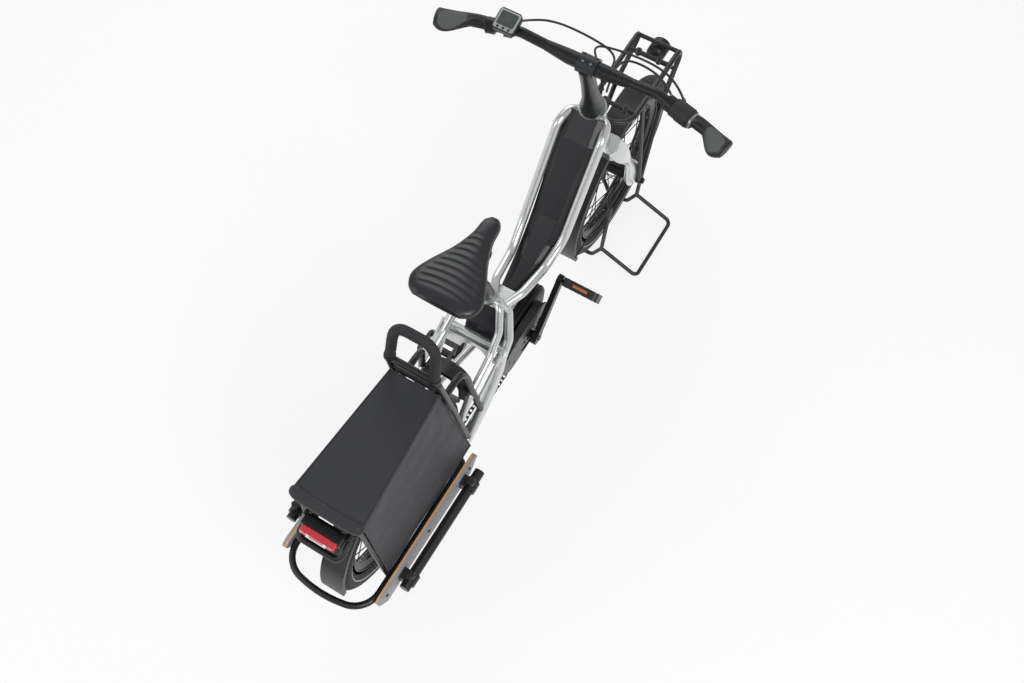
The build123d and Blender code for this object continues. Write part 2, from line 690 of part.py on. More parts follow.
def headlamp():
    """Headlamp under the front of the rack, with its bracket and a finned back."""
    front = Vector(RACK_FRONT_X - LAMP_SETBACK + LAMP_L / 2, 0, RACK_Z - LAMP_DROP)
    back = front - Vector(LAMP_L, 0, 0)
    shell = straight_bar(back, front, LAMP_R)
    shell = fillet(shell.edges().sort_by(Axis.X)[0], radius=LAMP_R / 2)
    # share of the lamp's length, from the back, of each cooling groove
    for share in (0.3, 0.45, 0.6):
        near = mix(back, front, share)
        far = near + Vector(LAMP_R / 8, 0, 0)
        shell -= straight_bar(near, far, LAMP_R * 2) - straight_bar(near, far, LAMP_R * 0.86)
    top = Vector(front.X - LAMP_L / 2, 0, RACK_Z - RACK_CORNER_R)
    bracket = straight_bar(front - Vector(LAMP_L / 2, 0, 0), top, RACK_BAR_R)
    return shell + bracket - front_rack()


def mudguard(start_angle, end_angle):
    """Channel-shaped mudguard round a wheel's axle between two angles."""
    inner = TYRE_R + GUARD_GAP
    outer = inner + GUARD_T
    channel = Pos((outer + inner - GUARD_LIP) / 2, 0) * Rectangle(outer - inner + GUARD_LIP, GUARD_W)
    channel -= Pos((inner + inner - GUARD_LIP * 2) / 2, 0) * Rectangle(GUARD_LIP * 2, GUARD_W - GUARD_T * 2)
    band = revolve(channel, axis=Axis.Y, revolution_arc=end_angle - start_angle)
    return Rot(0, -end_angle, 0) * band


def front_mudguard():
    """Front mudguard with its wire stays to the fork ends."""
    band = Pos(*FRONT_AXLE) * mudguard(FRONT_GUARD_FROM, FRONT_GUARD_TO)
    angle = math.radians(FRONT_GUARD_TO - GUARD_LIP)
    reach = TYRE_R + GUARD_GAP
    end = FRONT_AXLE + Vector(reach * math.cos(angle), GUARD_W / 2, reach * math.sin(angle))
    foot = FRONT_AXLE + Vector(-LEG_HALF_D_LOW * 0.8, LEG_Y_LOW - LEG_HALF_T * 0.7, GUARD_STAY_R)
    band += both_sides(straight_bar(end, foot, GUARD_STAY_R))
    hanger = straight_bar(on_head(TYRE_R + GUARD_GAP), on_head(CROWN_LOW), CROWN_HALF_D / 2)
    return band + hanger - Pos(*FRONT_AXLE) * wheel_room() - fork()


def wheel_room():
    """Room for a tyre under its mudguard."""
    return lathe([(-GUARD_W / 2 + GUARD_T, TYRE_R + GUARD_GAP), (GUARD_W / 2 - GUARD_T, TYRE_R + GUARD_GAP)])


def display_stand():
    """Wire stand: a floor loop and two posts on each side, joined by wires under the tyre."""
    centre = WHEELBASE - STAND_CENTRE_BACK
    wires = None
    low = STAND_WIRE_R
    for end in (-1, 1):
        x = centre + end * STAND_HALF_L
        under = [Vector(x, STAND_IN_Y, STAND_IN_Z), Vector(x, STAND_IN_Y * 0.55, low), Vector(x, -STAND_IN_Y * 0.55, low),
                 Vector(x, -STAND_IN_Y, STAND_IN_Z)]
        piece = bent_bar(under, STAND_WIRE_R, [STAND_BEND_R, STAND_BEND_R])
        wires = piece if wires is None else wires + piece
    for side in (-1, 1):
        loop = [Vector(centre + STAND_HALF_L, side * STAND_IN_Y, STAND_IN_Z),
                Vector(centre + STAND_HALF_L, side * STAND_OUT_Y, low),
                Vector(centre - STAND_HALF_L, side * STAND_OUT_Y, low),
                Vector(centre - STAND_HALF_L, side * STAND_IN_Y, STAND_IN_Z)]
        wires += bent_bar(loop, STAND_WIRE_R, [STAND_BEND_R, STAND_BEND_R])
        for end in (-1, 1):
            foot = Vector(centre + end * STAND_HALF_L, side * STAND_IN_Y, STAND_IN_Z)
            wires += straight_bar(foot - Vector(0, 0, STAND_WIRE_R), foot + Vector(0, 0, STAND_POST_H), STAND_WIRE_R)
    return wires


# Main frame

def head_tube():
    """Head tube with its lower cup and the bright upper bearing ring."""
    body = straight_bar(on_head(HEAD_LOW), on_head(HEAD_HIGH), HEAD_R)
    body += straight_bar(on_head(HEAD_HIGH), on_head(HEAD_HIGH + HEADSET_H), HEADSET_R)
    body += straight_bar(on_head(CROWN_HIGH + SEAT_GAP), on_head(HEAD_LOW), HEAD_CUP_R)
    bore = straight_bar(on_head(CROWN_HIGH - OVERRUN), on_head(HEAD_HIGH + HEADSET_H + OVERRUN),
                        STEERER_R + BEARING_GAP)
    return body - bore


# The battery hangs between the side rails along a sagging line from the head to the seat tube
RAIL_TOP = on_head(mix(HEAD_LOW, HEAD_HIGH, 0.93))
RAIL_LOW = BOTTOM_BRACKET + Vector(-RAIL_LOW_BACK, 0, RAIL_LOW_RISE)
COVER_TOP = on_head(HEAD_HIGH + COVER_ABOVE, -COVER_BACK)
COVER_LOW = BOTTOM_BRACKET + Vector(COVER_LOW_AHEAD, 0, COVER_LOW_RISE)
# share of the run from the head down, sag below that line as a share of the run, half width share
COVER_SHARES = ((0.0, 0.0, 0.98), (0.15, -0.008, 1.03), (0.26, 0.04, 1.0), (0.37, 0.112, 0.95), (0.47, 0.17, 0.92),
                (0.6, 0.19, 0.86), (0.74, 0.155, 0.78), (0.88, 0.08, 0.66), (1.0, 0.005, 0.56))


def battery_section(half_w, near, far, chamfer):
    """Section across the battery: crest towards the rider, sides down to the depth given."""
    top = [(half_w, near + chamfer), (half_w - chamfer * 2, near), (-half_w + chamfer * 2, near), (-half_w, near + chamfer)]
    return make_face(Polyline(*top, (-half_w, near + far), (half_w, near + far), close=True))


def battery_loft(near, far, half_w, chamfer):
    """Body that follows the battery's sagging line, between two depths below its crest."""
    run = (COVER_LOW - COVER_TOP).length
    crest = []
    for share, sag, width in COVER_SHARES:
        crest.append((mix(COVER_TOP, COVER_LOW, share) - Vector(0, 0, sag * run), width))
    sections = []
    for number, (place, width) in enumerate(crest):
        before = crest[max(number - 1, 0)][0]
        after = crest[min(number + 1, len(crest) - 1)][0]
        across = Plane(origin=place, x_dir=Vector(0, 1, 0), z_dir=after - before)
        sections.append(across * battery_section(half_w * width, near, far, chamfer))
    return loft(sections, ruled=True)


def battery_cover():
    """Faceted battery cover, cut off at the head and narrowing towards the seat tube."""
    body = battery_loft(0, COVER_DEPTH, BATTERY_HALF_W, BATTERY_CHAMFER)
    return body - head_room(HEADSET_R / 2) - side_rails_room()


def head_room(cheek):
    """Room that the battery leaves round the head tube, its cheeks reaching forward to a line behind it."""
    low = on_head(0, -cheek)
    place = Plane(origin=low, x_dir=HEAD_FWD, z_dir=HEAD_DIR)
    ahead = Box(WHEELBASE / 2, BATTERY_HALF_W * 4, WHEELBASE, align=(Align.MIN, Align.CENTER, Align.MIN))
    return place * ahead + straight_bar(on_head(0), on_head(WHEELBASE), HEADSET_R + SEAT_GAP)


def battery_case():
    """Battery body below the cover, one closed mass."""
    body = battery_loft(COVER_DEPTH + COVER_SEAM, CASE_DEPTH, CASE_HALF_W, BATTERY_CHAMFER / 2)
    return body - head_room(HEAD_R + SEAT_GAP) - side_rails_room() - motor_block(SEAT_GAP)


def side_rail(grow=0):
    """Left side rail from the head tube past the battery to the seat tube, grown by a margin."""
    # share of the run from head to low end, sag below that line as a share of the run, side place
    rows = ((0.0, 0.0, RAIL_HEAD_Y - HEAD_R), (0.082, -0.072, mix(RAIL_HEAD_Y, RAIL_WIDE_Y, 0.6)),
            (0.181, -0.108, RAIL_WIDE_Y), (0.556, 0.187, RAIL_WIDE_Y), (0.732, 0.176, mix(RAIL_LOW_Y, RAIL_WIDE_Y, 0.5)),
            (1.0, 0.0, RAIL_LOW_Y))
    run = (RAIL_LOW - RAIL_TOP).length
    points = []
    for share, sag, left in rows:
        points.append(mix(RAIL_TOP, RAIL_LOW, share) + Vector(0, left, -sag * run))
    points.append(on_seat(RAIL_LOW_RISE, SEAT_TUBE_R * 0.5))
    bends = [SIDE_RAIL_R * 2, SIDE_RAIL_R * 3, RAIL_BEND_R, RAIL_BEND_R / 2, RAIL_BEND_R / 3]
    rail = bent_bar(points, SIDE_RAIL_R + grow, bends)
    rail -= straight_bar(on_head(HEAD_LOW - HEAD_R), on_head(HEAD_HIGH + HEADSET_H), HEAD_R + SEAT_GAP / 3)
    rail = biggest(rail - head_tube())
    return rail - straight_bar(on_seat(0), on_seat(SEAT_TUBE_TOP), SEAT_TUBE_R + SEAT_GAP / 3)


def seat_tube():
    """Seat tube with its collar and clamp lever, and the plate that holds the battery's foot."""
    body = straight_bar(on_seat(SEAT_TUBE_LOW), on_seat(SEAT_TUBE_TOP), SEAT_TUBE_R)
    body += straight_bar(on_seat(SEAT_TUBE_TOP - COLLAR_H), on_seat(SEAT_TUBE_TOP), SEAT_TUBE_R + COLLAR_T)
    clamp = on_seat(SEAT_TUBE_TOP - COLLAR_H / 2) - Vector(SEAT_TUBE_R + COLLAR_T, 0, 0)
    lever = Box(LEVER_T, LEVER_W, LEVER_L, align=(Align.CENTER, Align.CENTER, Align.MIN))
    body += Pos(*clamp) * Rot(0, -(90 - SEAT_ANGLE), 0) * lever
    low = on_seat(COVER_LOW_RISE / math.sin(math.radians(SEAT_ANGLE)))
    plate = Box(PLATE_L + SEAT_TUBE_R, PLATE_HALF_W * 2, PLATE_T, align=(Align.MIN, Align.CENTER, Align.MAX))
    body += Pos(low.X, 0, low.Z) * plate - side_rails_room()
    room = straight_bar(on_seat(SEAT_TUBE_TOP - SEAT_POST_IN - OVERRUN), on_seat(SEAT_TUBE_TOP + OVERRUN),
                        SEAT_POST_R + SEAT_GAP)
    return body - room - straight_bar(on_seat(SEAT_TUBE_TOP), on_seat(SEAT_POST_TOP), SEAT_POST_R + SEAT_GAP)


def seat_post():
    """Seat post with the clamp head and the saddle's two rails."""
    top = on_seat(SEAT_POST_TOP)
    body = straight_bar(on_seat(SEAT_TUBE_TOP - SEAT_POST_IN), top, SEAT_POST_R)
    body += cross_bar(top, SEAT_POST_R * 1.1, SADDLE_RAIL_Y + SADDLE_RAIL_R * 2)
    rail_z = top.Z + SEAT_POST_R * 0.7
    under = SADDLE_TOP - SADDLE_T
    rail = [Vector(SADDLE_NOSE_X - SADDLE_L * 0.22, SADDLE_RAIL_Y * 0.5, under + SADDLE_T / 2),
            Vector(top.X + SADDLE_RAIL_Y * 2, SADDLE_RAIL_Y, rail_z),
            Vector(top.X - SADDLE_RAIL_Y * 2, SADDLE_RAIL_Y, rail_z),
            Vector(SADDLE_NOSE_X - SADDLE_L * 0.86, SADDLE_RAIL_Y * 1.4, under + SADDLE_T / 2)]
    body += both_sides(bent_bar(rail, SADDLE_RAIL_R, [SADDLE_RAIL_Y / 2, SADDLE_RAIL_Y / 2]))
    return body - saddle()


def saddle():
    """Padded saddle, narrow at the nose, with nearly straight sides and a broad flat rear."""
    # share of the length from the nose, half width share, thickness share, drop share of the top
    rows = ((0.0, 0.13, 0.34, 0.16), (0.06, 0.24, 0.62, 0.02), (0.22, 0.3, 0.74, 0.02), (0.42, 0.5, 0.84, 0.04),
            (0.62, 0.8, 0.92, 0.02), (0.76, 0.97, 0.95, 0.0), (0.86, 1.0, 0.9, 0.0), (0.95, 0.88, 0.76, 0.04),
            (1.0, 0.68, 0.5, 0.14))
    sections = []
    for share, width, thick, drop in rows:
        top = SADDLE_TOP - SADDLE_T * drop
        half = SADDLE_T * thick / 2
        place = Plane(origin=Vector(SADDLE_NOSE_X - SADDLE_L * share, 0, top - half), x_dir=Vector(0, 1, 0),
                      z_dir=Vector(-1, 0, 0))
        sections.append(place * Ellipse(SADDLE_HALF_W * width, half))
    return loft(sections)


def motor_block(grow=0):
    """Rounded block of the drive unit, grown by a margin."""
    block = Box(MOTOR_L + grow * 2, MOTOR_HALF_W * 2 + grow * 2, MOTOR_H + grow * 2)
    block = fillet(block.edges().filter_by(Axis.Y), radius=MOTOR_ROUND)
    return Pos(BB_X + MOTOR_L * 0.12, 0, BB_Z + MOTOR_H * 0.02) * block


def motor():
    """Drive unit as one plain mass round the crank spindle."""
    block = motor_block()
    block -= cross_bar(BOTTOM_BRACKET, SPINDLE_R + SPINDLE_GAP, MOTOR_HALF_W + OVERRUN)
    block -= straight_bar(on_seat(SEAT_TUBE_LOW), on_seat(SEAT_TUBE_TOP), SEAT_TUBE_R)
    return block - side_rails_room()


def side_rails_room():
    """Both side rails grown by a gap, as the room they take in what they hold."""
    return both_sides(side_rail(SEAT_GAP))


def stay_points():
    """Bend points of the left upper stay, from the seat tube to the dropout."""
    start = on_seat(SEAT_TUBE_TOP - COLLAR_H - STAY_R * 1.6, SEAT_TUBE_R * 0.5)
    end = Vector(DROPOUT_R * 0.6, DROPOUT_Y + DROPOUT_T / 2, TYRE_R + DROPOUT_R * 0.4)
    # share of the run to the dropout, share of the fall, side place
    rows = ((-0.01, 0.09, STAY_WIDE_Y * 0.6), (0.085, 0.26, STAY_WIDE_Y * 0.93), (0.27, 0.5, STAY_WIDE_Y * 1.03),
            (0.56, 0.88, STAY_WIDE_Y * 1.05))
    points = [start]
    for run_share, fall_share, left in rows:
        points.append(Vector(mix(start.X, end.X, run_share), left, mix(start.Z, end.Z, fall_share)))
    return points + [end]


def stay_tube():
    """Left upper stay: round the seat tube, outwards and back down to the dropout."""
    stay = bent_bar(stay_points(), STAY_R, [STAY_R * 1.5, STAY_R * 3, STAY_WIDE_Y, STAY_WIDE_Y])
    return stay - straight_bar(on_seat(0), on_seat(SEAT_TUBE_TOP), SEAT_TUBE_R)


def stay_place(run_share, fall_share, left):
    """Point beside the left stay, as shares of its run to the dropout and of its fall."""
    start = on_seat(SEAT_TUBE_TOP)
    return Vector(mix(start.X, 0, run_share), left, mix(start.Z, TYRE_R, fall_share))


def twin_tubes():
    """Left inner tube beside the stay, and the lower tube that bends down from it to the dropout."""
    inner = [on_seat(SEAT_TUBE_TOP - COLLAR_H - STAY_INNER_R, SEAT_TUBE_R * 0.4),
             stay_place(0.02, 0.07, STAY_INNER_Y * 0.6), stay_place(0.1, 0.19, STAY_INNER_Y * 0.92),
             stay_place(0.21, 0.3, STAY_INNER_Y),
             stay_place(0.44, 0.41, STAY_INNER_Y * 1.05), stay_place(0.8, 0.86, DROPOUT_Y + DROPOUT_T / 2)]
    bends = [STAY_INNER_R * 1.4, STAY_INNER_R * 5, STAY_INNER_Y, STAY_INNER_Y * 1.6]
    tubes = bent_bar(inner, STAY_INNER_R, bends)
    tubes -= straight_bar(on_seat(0), on_seat(SEAT_TUBE_TOP), SEAT_TUBE_R)
    lower = [stay_place(0.135, 0.36, STAY_WIDE_Y), stay_place(0.16, 0.53, STAY_WIDE_Y),
             stay_place(0.29, 0.77, STAY_WIDE_Y), stay_place(0.52, 0.92, STAY_WIDE_Y * 1.02),
             Vector(DROPOUT_R * 0.5, DROPOUT_Y + DROPOUT_T / 2, TYRE_R)]
    return tubes + bent_bar(lower, STAY_LOWER_R, [STAY_WIDE_Y * 0.8, STAY_WIDE_Y, STAY_WIDE_Y])


def stay_plate():
    """Left slotted plate that fills the angle between the stay and the lower tube."""
    outline = [stay_place(0.14, 0.28, 0), stay_place(0.27, 0.37, 0), stay_place(0.4, 0.46, 0),
               stay_place(0.4, 0.6, 0), stay_place(0.3, 0.76, 0), stay_place(0.16, 0.54, 0)]
    plate = side_plate([(p.X, p.Z) for p in outline], STAY_WIDE_Y - STAY_PLATE_T / 2, STAY_PLATE_T)
    # shares of the run and fall of each slot's ends
    for ends in ((0.225, 0.39, 0.26, 0.5), (0.29, 0.53, 0.31, 0.62)):
        top = stay_place(ends[0], ends[1], STAY_WIDE_Y)
        low = stay_place(ends[2], ends[3], STAY_WIDE_Y)
        along = Vector(0, STAY_PLATE_T * 2, 0)
        for place in (top, low):
            plate -= straight_bar(place - along, place + along, STAY_SLOT_W / 2)
        across = (low - top).cross(Vector(0, 1, 0)).normalized() * STAY_SLOT_W / 2
        slot = make_face(Polyline(top - across, top + across, low + across, low - across, close=True))
        plate -= extrude(slot, amount=STAY_PLATE_T * 2, dir=(0, 1, 0), both=True)
    return plate


def chain_stay():
    """Left chain stay from the motor to the dropout."""
    start = Vector(BB_X - MOTOR_L * 0.33, MOTOR_HALF_W - CHAINSTAY_R * 1.2, BB_Z - CHAINSTAY_R)
    knee = Vector(mix(start.X, 0, 0.35), DROPOUT_Y * 0.86, mix(start.Z, TYRE_R, 0.4))
    end = Vector(DROPOUT_R * 0.6, DROPOUT_Y + DROPOUT_T / 2, TYRE_R - DROPOUT_R * 0.4)
    return bent_bar([start, knee, end], CHAINSTAY_R, [STAY_WIDE_Y])


def dropout():
    """Left dropout plate with the axle's eye."""
    plate = lathe([(0, DROPOUT_R), (DROPOUT_T, DROPOUT_R)])
    return Pos(0, DROPOUT_Y, TYRE_R) * plate


def rear_triangle(side):
    """Stays, slotted plate, chain stay and dropout of one side as one welded piece."""
    shape = stay_tube() + chain_stay() + dropout() + twin_tubes() + stay_plate()
    shape -= cross_bar(REAR_AXLE, AXLE_R + SEAT_GAP, DROPOUT_Y * 2)
    motor_room = Pos(BB_X + MOTOR_L * 0.12, 0, BB_Z) * Box(MOTOR_L + SEAT_GAP, MOTOR_HALF_W * 2, MOTOR_H * 2)
    shape -= motor_room
    shape -= side_rails_room()
    shape -= straight_bar(on_seat(SEAT_TUBE_LOW), on_seat(SEAT_TUBE_TOP), SEAT_TUBE_R + SEAT_GAP / 3)
    shape = biggest(shape - seat_tube())
    return shape if side > 0 else mirror(shape, about=Plane.XZ)


def beam_place():
    """Middle of the cross beam."""
    stay = stay_points()
    centre = mix(stay[2], stay[3], 0.35)
    return Vector(centre.X, 0, centre.Z), centre.Y


def cross_beam():
    """Cross beam between the stays with an arched bridge plate under it, its ends cut to the tubes."""
    centre, reach = beam_place()
    beam = cross_bar(centre, BEAM_R, reach)
    plate = Box(BRIDGE_T, reach * 2, BRIDGE_H, align=(Align.CENTER, Align.CENTER, Align.MAX))
    plate -= Pos(0, 0, -BRIDGE_H) * Rot(0, 90, 0) * Cylinder(BRIDGE_ARCH_R, BRIDGE_T * 2)
    beam += Pos(*centre) * plate
    return beam - both_sides(stay_tube()) - both_sides(twin_tubes()) - both_sides(stay_plate())


def splash_cover():
    """Moulded cover behind the seat tube that keeps water off the motor."""
    centre, reach = beam_place()
    top = on_seat(SEAT_TUBE_TOP - COLLAR_H * 2) - Vector(SEAT_TUBE_R * 1.1 + SPLASH_T, 0, 0)
    low = Vector(centre.X + BEAM_R + SEAT_GAP + SPLASH_T, 0, centre.Z - BEAM_R / 2)
    foot = Vector(low.X + SPLASH_T * 2, 0, low.Z - BRIDGE_H)
    inward = Vector(SPLASH_T, 0, -SPLASH_T / 2)
    outline = [top, low, foot, foot + Vector(SPLASH_T, 0, 0), low + inward, top + Vector(SPLASH_T, 0, 0)]
    face = make_face(Polyline(*outline, close=True))
    cover = extrude(face, amount=SPLASH_HALF_W, dir=(0, 1, 0), both=True)
    front = [foot + Vector(SPLASH_HALF_W, 0, 0), top + Vector(SPLASH_T, 0, 0)]
    cheek = make_face(Polyline(top, low, foot, *front, close=True))
    for side in (-1, 1):
        wall = extrude(cheek, amount=SPLASH_T * side, dir=(0, 1, 0))
        cover += Pos(0, side * (SPLASH_HALF_W - SPLASH_T), 0) * wall
    bolt = mix(top, low, 0.8)
    through = Vector(SPLASH_T * 3, -SPLASH_HALF_W / 2, 0)
    cover -= straight_bar(bolt - through, bolt + through, STAY_SLOT_W / 2)
    cover -= straight_bar(on_seat(0), on_seat(SEAT_TUBE_TOP), SEAT_TUBE_R + SEAT_GAP) + motor_block(SEAT_GAP)
    return cover - both_sides(rear_triangle(1)) - both_sides(side_rail(SEAT_GAP))


def ring_lock():
    """Ring lock astride the rear wheel, held by a lug on each stay."""
    ring = Rot(0, 90, 0) * Cylinder(LOCK_R, LOCK_L)
    ring += Pos(0, 0, -LOCK_LEG / 2) * Box(LOCK_L, LOCK_R * 2, LOCK_LEG)
    ring -= Pos(0, 0, -LOCK_R - LOCK_LEG) * Box(LOCK_L * 2, LOCK_R * 3, LOCK_R * 2)
    inner = LOCK_R - LOCK_WALL
    ring -= Rot(0, 90, 0) * Cylinder(inner, LOCK_L * 2)
    ring -= Pos(0, 0, -LOCK_R) * Box(LOCK_L * 2, inner * 2, LOCK_R * 2)
    lug = Box(LOCK_L / 3, (STAY_WIDE_Y + LOCK_WALL / 2) * 2, LOCK_WALL)
    lug -= Box(LOCK_L, LOCK_R * 2 - LOCK_WALL, LOCK_WALL * 2)
    ring += lug
    return biggest(Pos(LOCK_X, 0, LOCK_Z) * ring - both_sides(rear_triangle(1)) - rear_carrier())


def rear_axle():
    """Rear axle through both dropouts."""
    return cross_bar(REAR_AXLE, AXLE_R, DROPOUT_Y + DROPOUT_T + AXLE_KNOB_OUT)


# Drive

def crankset():
    """Spindle, both arms and the chainring."""
    spindle = cross_bar(BOTTOM_BRACKET, SPINDLE_R, CRANK_IN_Y + CRANK_T / 2)
    body = spindle
    turn = math.radians(CRANK_ANGLE)
    for side in (-1, 1):
        reach = Vector(math.cos(turn), 0, math.sin(turn)) * (-side * CRANK_L)
        inner = Vector(0, side * CRANK_IN_Y, 0)
        outer = Vector(0, side * (CRANK_IN_Y + CRANK_T), 0)
        base = BOTTOM_BRACKET + inner
        arm = straight_bar(base, BOTTOM_BRACKET + outer, CRANK_BOSS_R)
        arm += straight_bar(base + reach, BOTTOM_BRACKET + outer + reach, CRANK_EYE_R)
        across = Vector(-reach.Z, 0, reach.X).normalized()
        outline = [base + across * CRANK_BOSS_R * 0.8, base - across * CRANK_BOSS_R * 0.8,
                   base + reach - across * CRANK_EYE_R * 0.9, base + reach + across * CRANK_EYE_R * 0.9]
        arm += extrude(make_face(Polyline(*outline, close=True)), amount=CRANK_T, dir=(0, side, 0))
        arm -= straight_bar(base + reach - Vector(0, side * OVERRUN, 0),
                            BOTTOM_BRACKET + outer + reach + Vector(0, side * OVERRUN, 0), PEDAL_PIN_R + SEAT_GAP)
        body += arm
    ring = lathe([(-CHAIN_Y - CHAINRING_T / 2, CHAINRING_R), (-CHAIN_Y + CHAINRING_T / 2, CHAINRING_R)])
    for number in range(RING_HOLES):
        angle = math.radians(360 / RING_HOLES * number)
        reach = mix(SPINDLE_R, CHAINRING_R, 0.52)
        ring -= cross_bar(Vector(reach * math.cos(angle), 0, reach * math.sin(angle)), RING_HOLE_R, CHAIN_Y * 2)
    return body + Pos(*BOTTOM_BRACKET) * ring


def pedal(side):
    """Cage pedal on its pin at the end of one crank."""
    turn = math.radians(CRANK_ANGLE)
    eye = BOTTOM_BRACKET + Vector(math.cos(turn), 0, math.sin(turn)) * (-side * CRANK_L)
    near = CRANK_IN_Y + CRANK_T + PEDAL_GAP
    middle = eye + Vector(0, side * (near + PEDAL_W / 2), 0)
    frame = Box(PEDAL_L, PEDAL_W, PEDAL_T)
    frame = fillet(frame.edges().filter_by(Axis.Z), radius=PEDAL_T / 2)
    frame -= Box(PEDAL_L - PEDAL_BAR * 2, PEDAL_W - PEDAL_BAR * 2, PEDAL_T * 2)
    frame += Rot(90, 0, 0) * Cylinder(PEDAL_T * 0.48, PEDAL_W)
    frame = Rot(0, PEDAL_TURNS[side], 0) * frame
    pin = straight_bar(eye + Vector(0, side * (CRANK_IN_Y + SEAT_GAP), 0), middle, PEDAL_PIN_R)
    return Pos(*middle) * frame + pin


def belt():
    """Drive chain round the chainring and the rear sprocket, on the frame."""
    ring_r = CHAINRING_R + BELT_GAP
    sprocket_r = SPROCKET_R + BELT_GAP

    def hull(grow):
        """Flat outline round both wheels, grown by a margin."""
        big = ring_r + grow
        small = sprocket_r + grow
        distance = math.hypot(BB_X, BB_Z - TYRE_R)
        tilt = math.atan2(BB_Z - TYRE_R, BB_X)
        lean = math.asin((big - small) / distance)
        upper = tilt + math.pi / 2 + lean
        lower = tilt - math.pi / 2 - lean
        points = [(BB_X + big * math.cos(upper), BB_Z + big * math.sin(upper)),
                  (small * math.cos(upper), TYRE_R + small * math.sin(upper)),
                  (small * math.cos(lower), TYRE_R + small * math.sin(lower)),
                  (BB_X + big * math.cos(lower), BB_Z + big * math.sin(lower))]
        return make_face(Polyline(*points, close=True)) + Pos(BB_X, BB_Z) * Circle(big) + Pos(0, TYRE_R) * Circle(small)

    band = hull(BELT_T) - hull(0)
    place = Plane(origin=(0, -CHAIN_Y + BELT_W / 2, 0), x_dir=(1, 0, 0), z_dir=(0, -1, 0))
    return extrude(place * band, amount=BELT_W)


def chain_guard():
    """Moulded guard beside the chainring, with a rim over the chain and an opening round the crank."""
    centre = Vector(BB_X - GUARD_BACK, 0, BB_Z + GUARD_RISE)
    face = Plane(origin=centre - Vector(0, GUARD_PLATE_Y, 0), x_dir=Vector(1, 0, 0), z_dir=Vector(0, -1, 0))
    body = extrude(face * SlotCenterToCenter(GUARD_CENTRES, GUARD_HALF_H * 2), amount=GUARD_PLATE_T)
    rim_inner = GUARD_HALF_H - GUARD_RIM_T
    rim = extrude(face * SlotCenterToCenter(GUARD_CENTRES, GUARD_HALF_H * 2), amount=-GUARD_RIM_W)
    rim -= extrude(face * SlotCenterToCenter(GUARD_CENTRES, rim_inner * 2), amount=-GUARD_RIM_W - OVERRUN)
    # the rim covers only the upper part, above the chain
    rim_low = Vector(centre.X, -GUARD_PLATE_Y, BB_Z + CHAINRING_R + BELT_T + OVERRUN)
    below = Box(GUARD_CENTRES * 4, GUARD_RIM_W * 4, WHEELBASE, align=(Align.CENTER, Align.CENTER, Align.MAX))
    body += rim - Pos(*rim_low) * below
    opening = Plane(origin=BOTTOM_BRACKET - Vector(0, GUARD_PLATE_Y - OVERRUN, 0), x_dir=Vector(1, 0, 0),
                    z_dir=Vector(0, -1, 0))
    body -= extrude(opening * SlotCenterToCenter(GUARD_OPEN_L, GUARD_OPEN_R * 2), amount=GUARD_PLATE_T + OVERRUN * 2)
    spacer = Vector(centre.X + GUARD_CENTRES / 2 + GUARD_HALF_H - GUARD_RIM_T, -MOTOR_HALF_W, centre.Z)
    body += straight_bar(spacer, Vector(spacer.X, -GUARD_PLATE_Y, spacer.Z), GUARD_BRACKET_R)
    return body


# Rear carrier

def rear_carrier():
    """Carrier deck: side tubes that arch down to the stays, cross tubes and legs to the dropouts."""
    stay = stay_points()
    foot = mix(stay[3], stay[4], 0.5)
    side = [Vector(DECK_REAR_X, DECK_HALF_W, DECK_Z), Vector(DECK_FRONT_X, DECK_HALF_W, DECK_Z), foot]
    body = bent_bar(side, DECK_TUBE_R, [DECK_TUBE_R * 5])
    # share of the deck's length for the top of each leg, and the foot's place as a share of the dropout
    for share, foot_share in ((0.3, -0.45), (0.62, 0.45)):
        top = Vector(mix(DECK_REAR_X, DECK_FRONT_X, share), DECK_HALF_W, DECK_Z)
        end = Vector(DROPOUT_R * foot_share, DROPOUT_Y + DROPOUT_T + DECK_TUBE_R, TYRE_R + DROPOUT_R)
        body += straight_bar(top, end, DECK_TUBE_R * 0.84)
    body = both_sides(body)
    # share of the deck's length from its rear end
    for share in DECK_CROSS_SHARES:
        body += cross_bar(Vector(mix(DECK_REAR_X, DECK_FRONT_X, share), 0, DECK_Z), DECK_TUBE_R * 0.9, DECK_HALF_W)
    body += tail_case()
    body -= both_sides(rear_triangle(1))
    return max(body.solids(), key=lambda piece: piece.volume)


def cloth_corner(front, top):
    """Left corner of the cloth cover, at its front or rear and its top or hem."""
    if top:
        return Vector(COVER_FRONT_X if front else COVER_REAR_X,
                      COVER_FRONT_HALF_W if front else COVER_REAR_HALF_W, COVER_TOP_Z)
    return Vector(COVER_FRONT_LOW_X if front else COVER_REAR_LOW_X, COVER_LOW_HALF_W, COVER_LOW_Z)


def ring_corner(front):
    """Left corner of the ring that carries the cloth, inside it."""
    inside = COVER_T + SEAT_GAP + RING_TUBE_R
    corner = cloth_corner(front, True)
    return Vector(corner.X + (0 if front else inside), corner.Y - inside - COVER_T, corner.Z - inside - SEAT_GAP)


def hoop_line():
    """Left corner of the hoop and the foot of its leg on the stay."""
    stay = stay_points()
    return Vector(HOOP_X, HOOP_HALF_W, HOOP_Z), mix(stay[3], stay[4], 0.98)


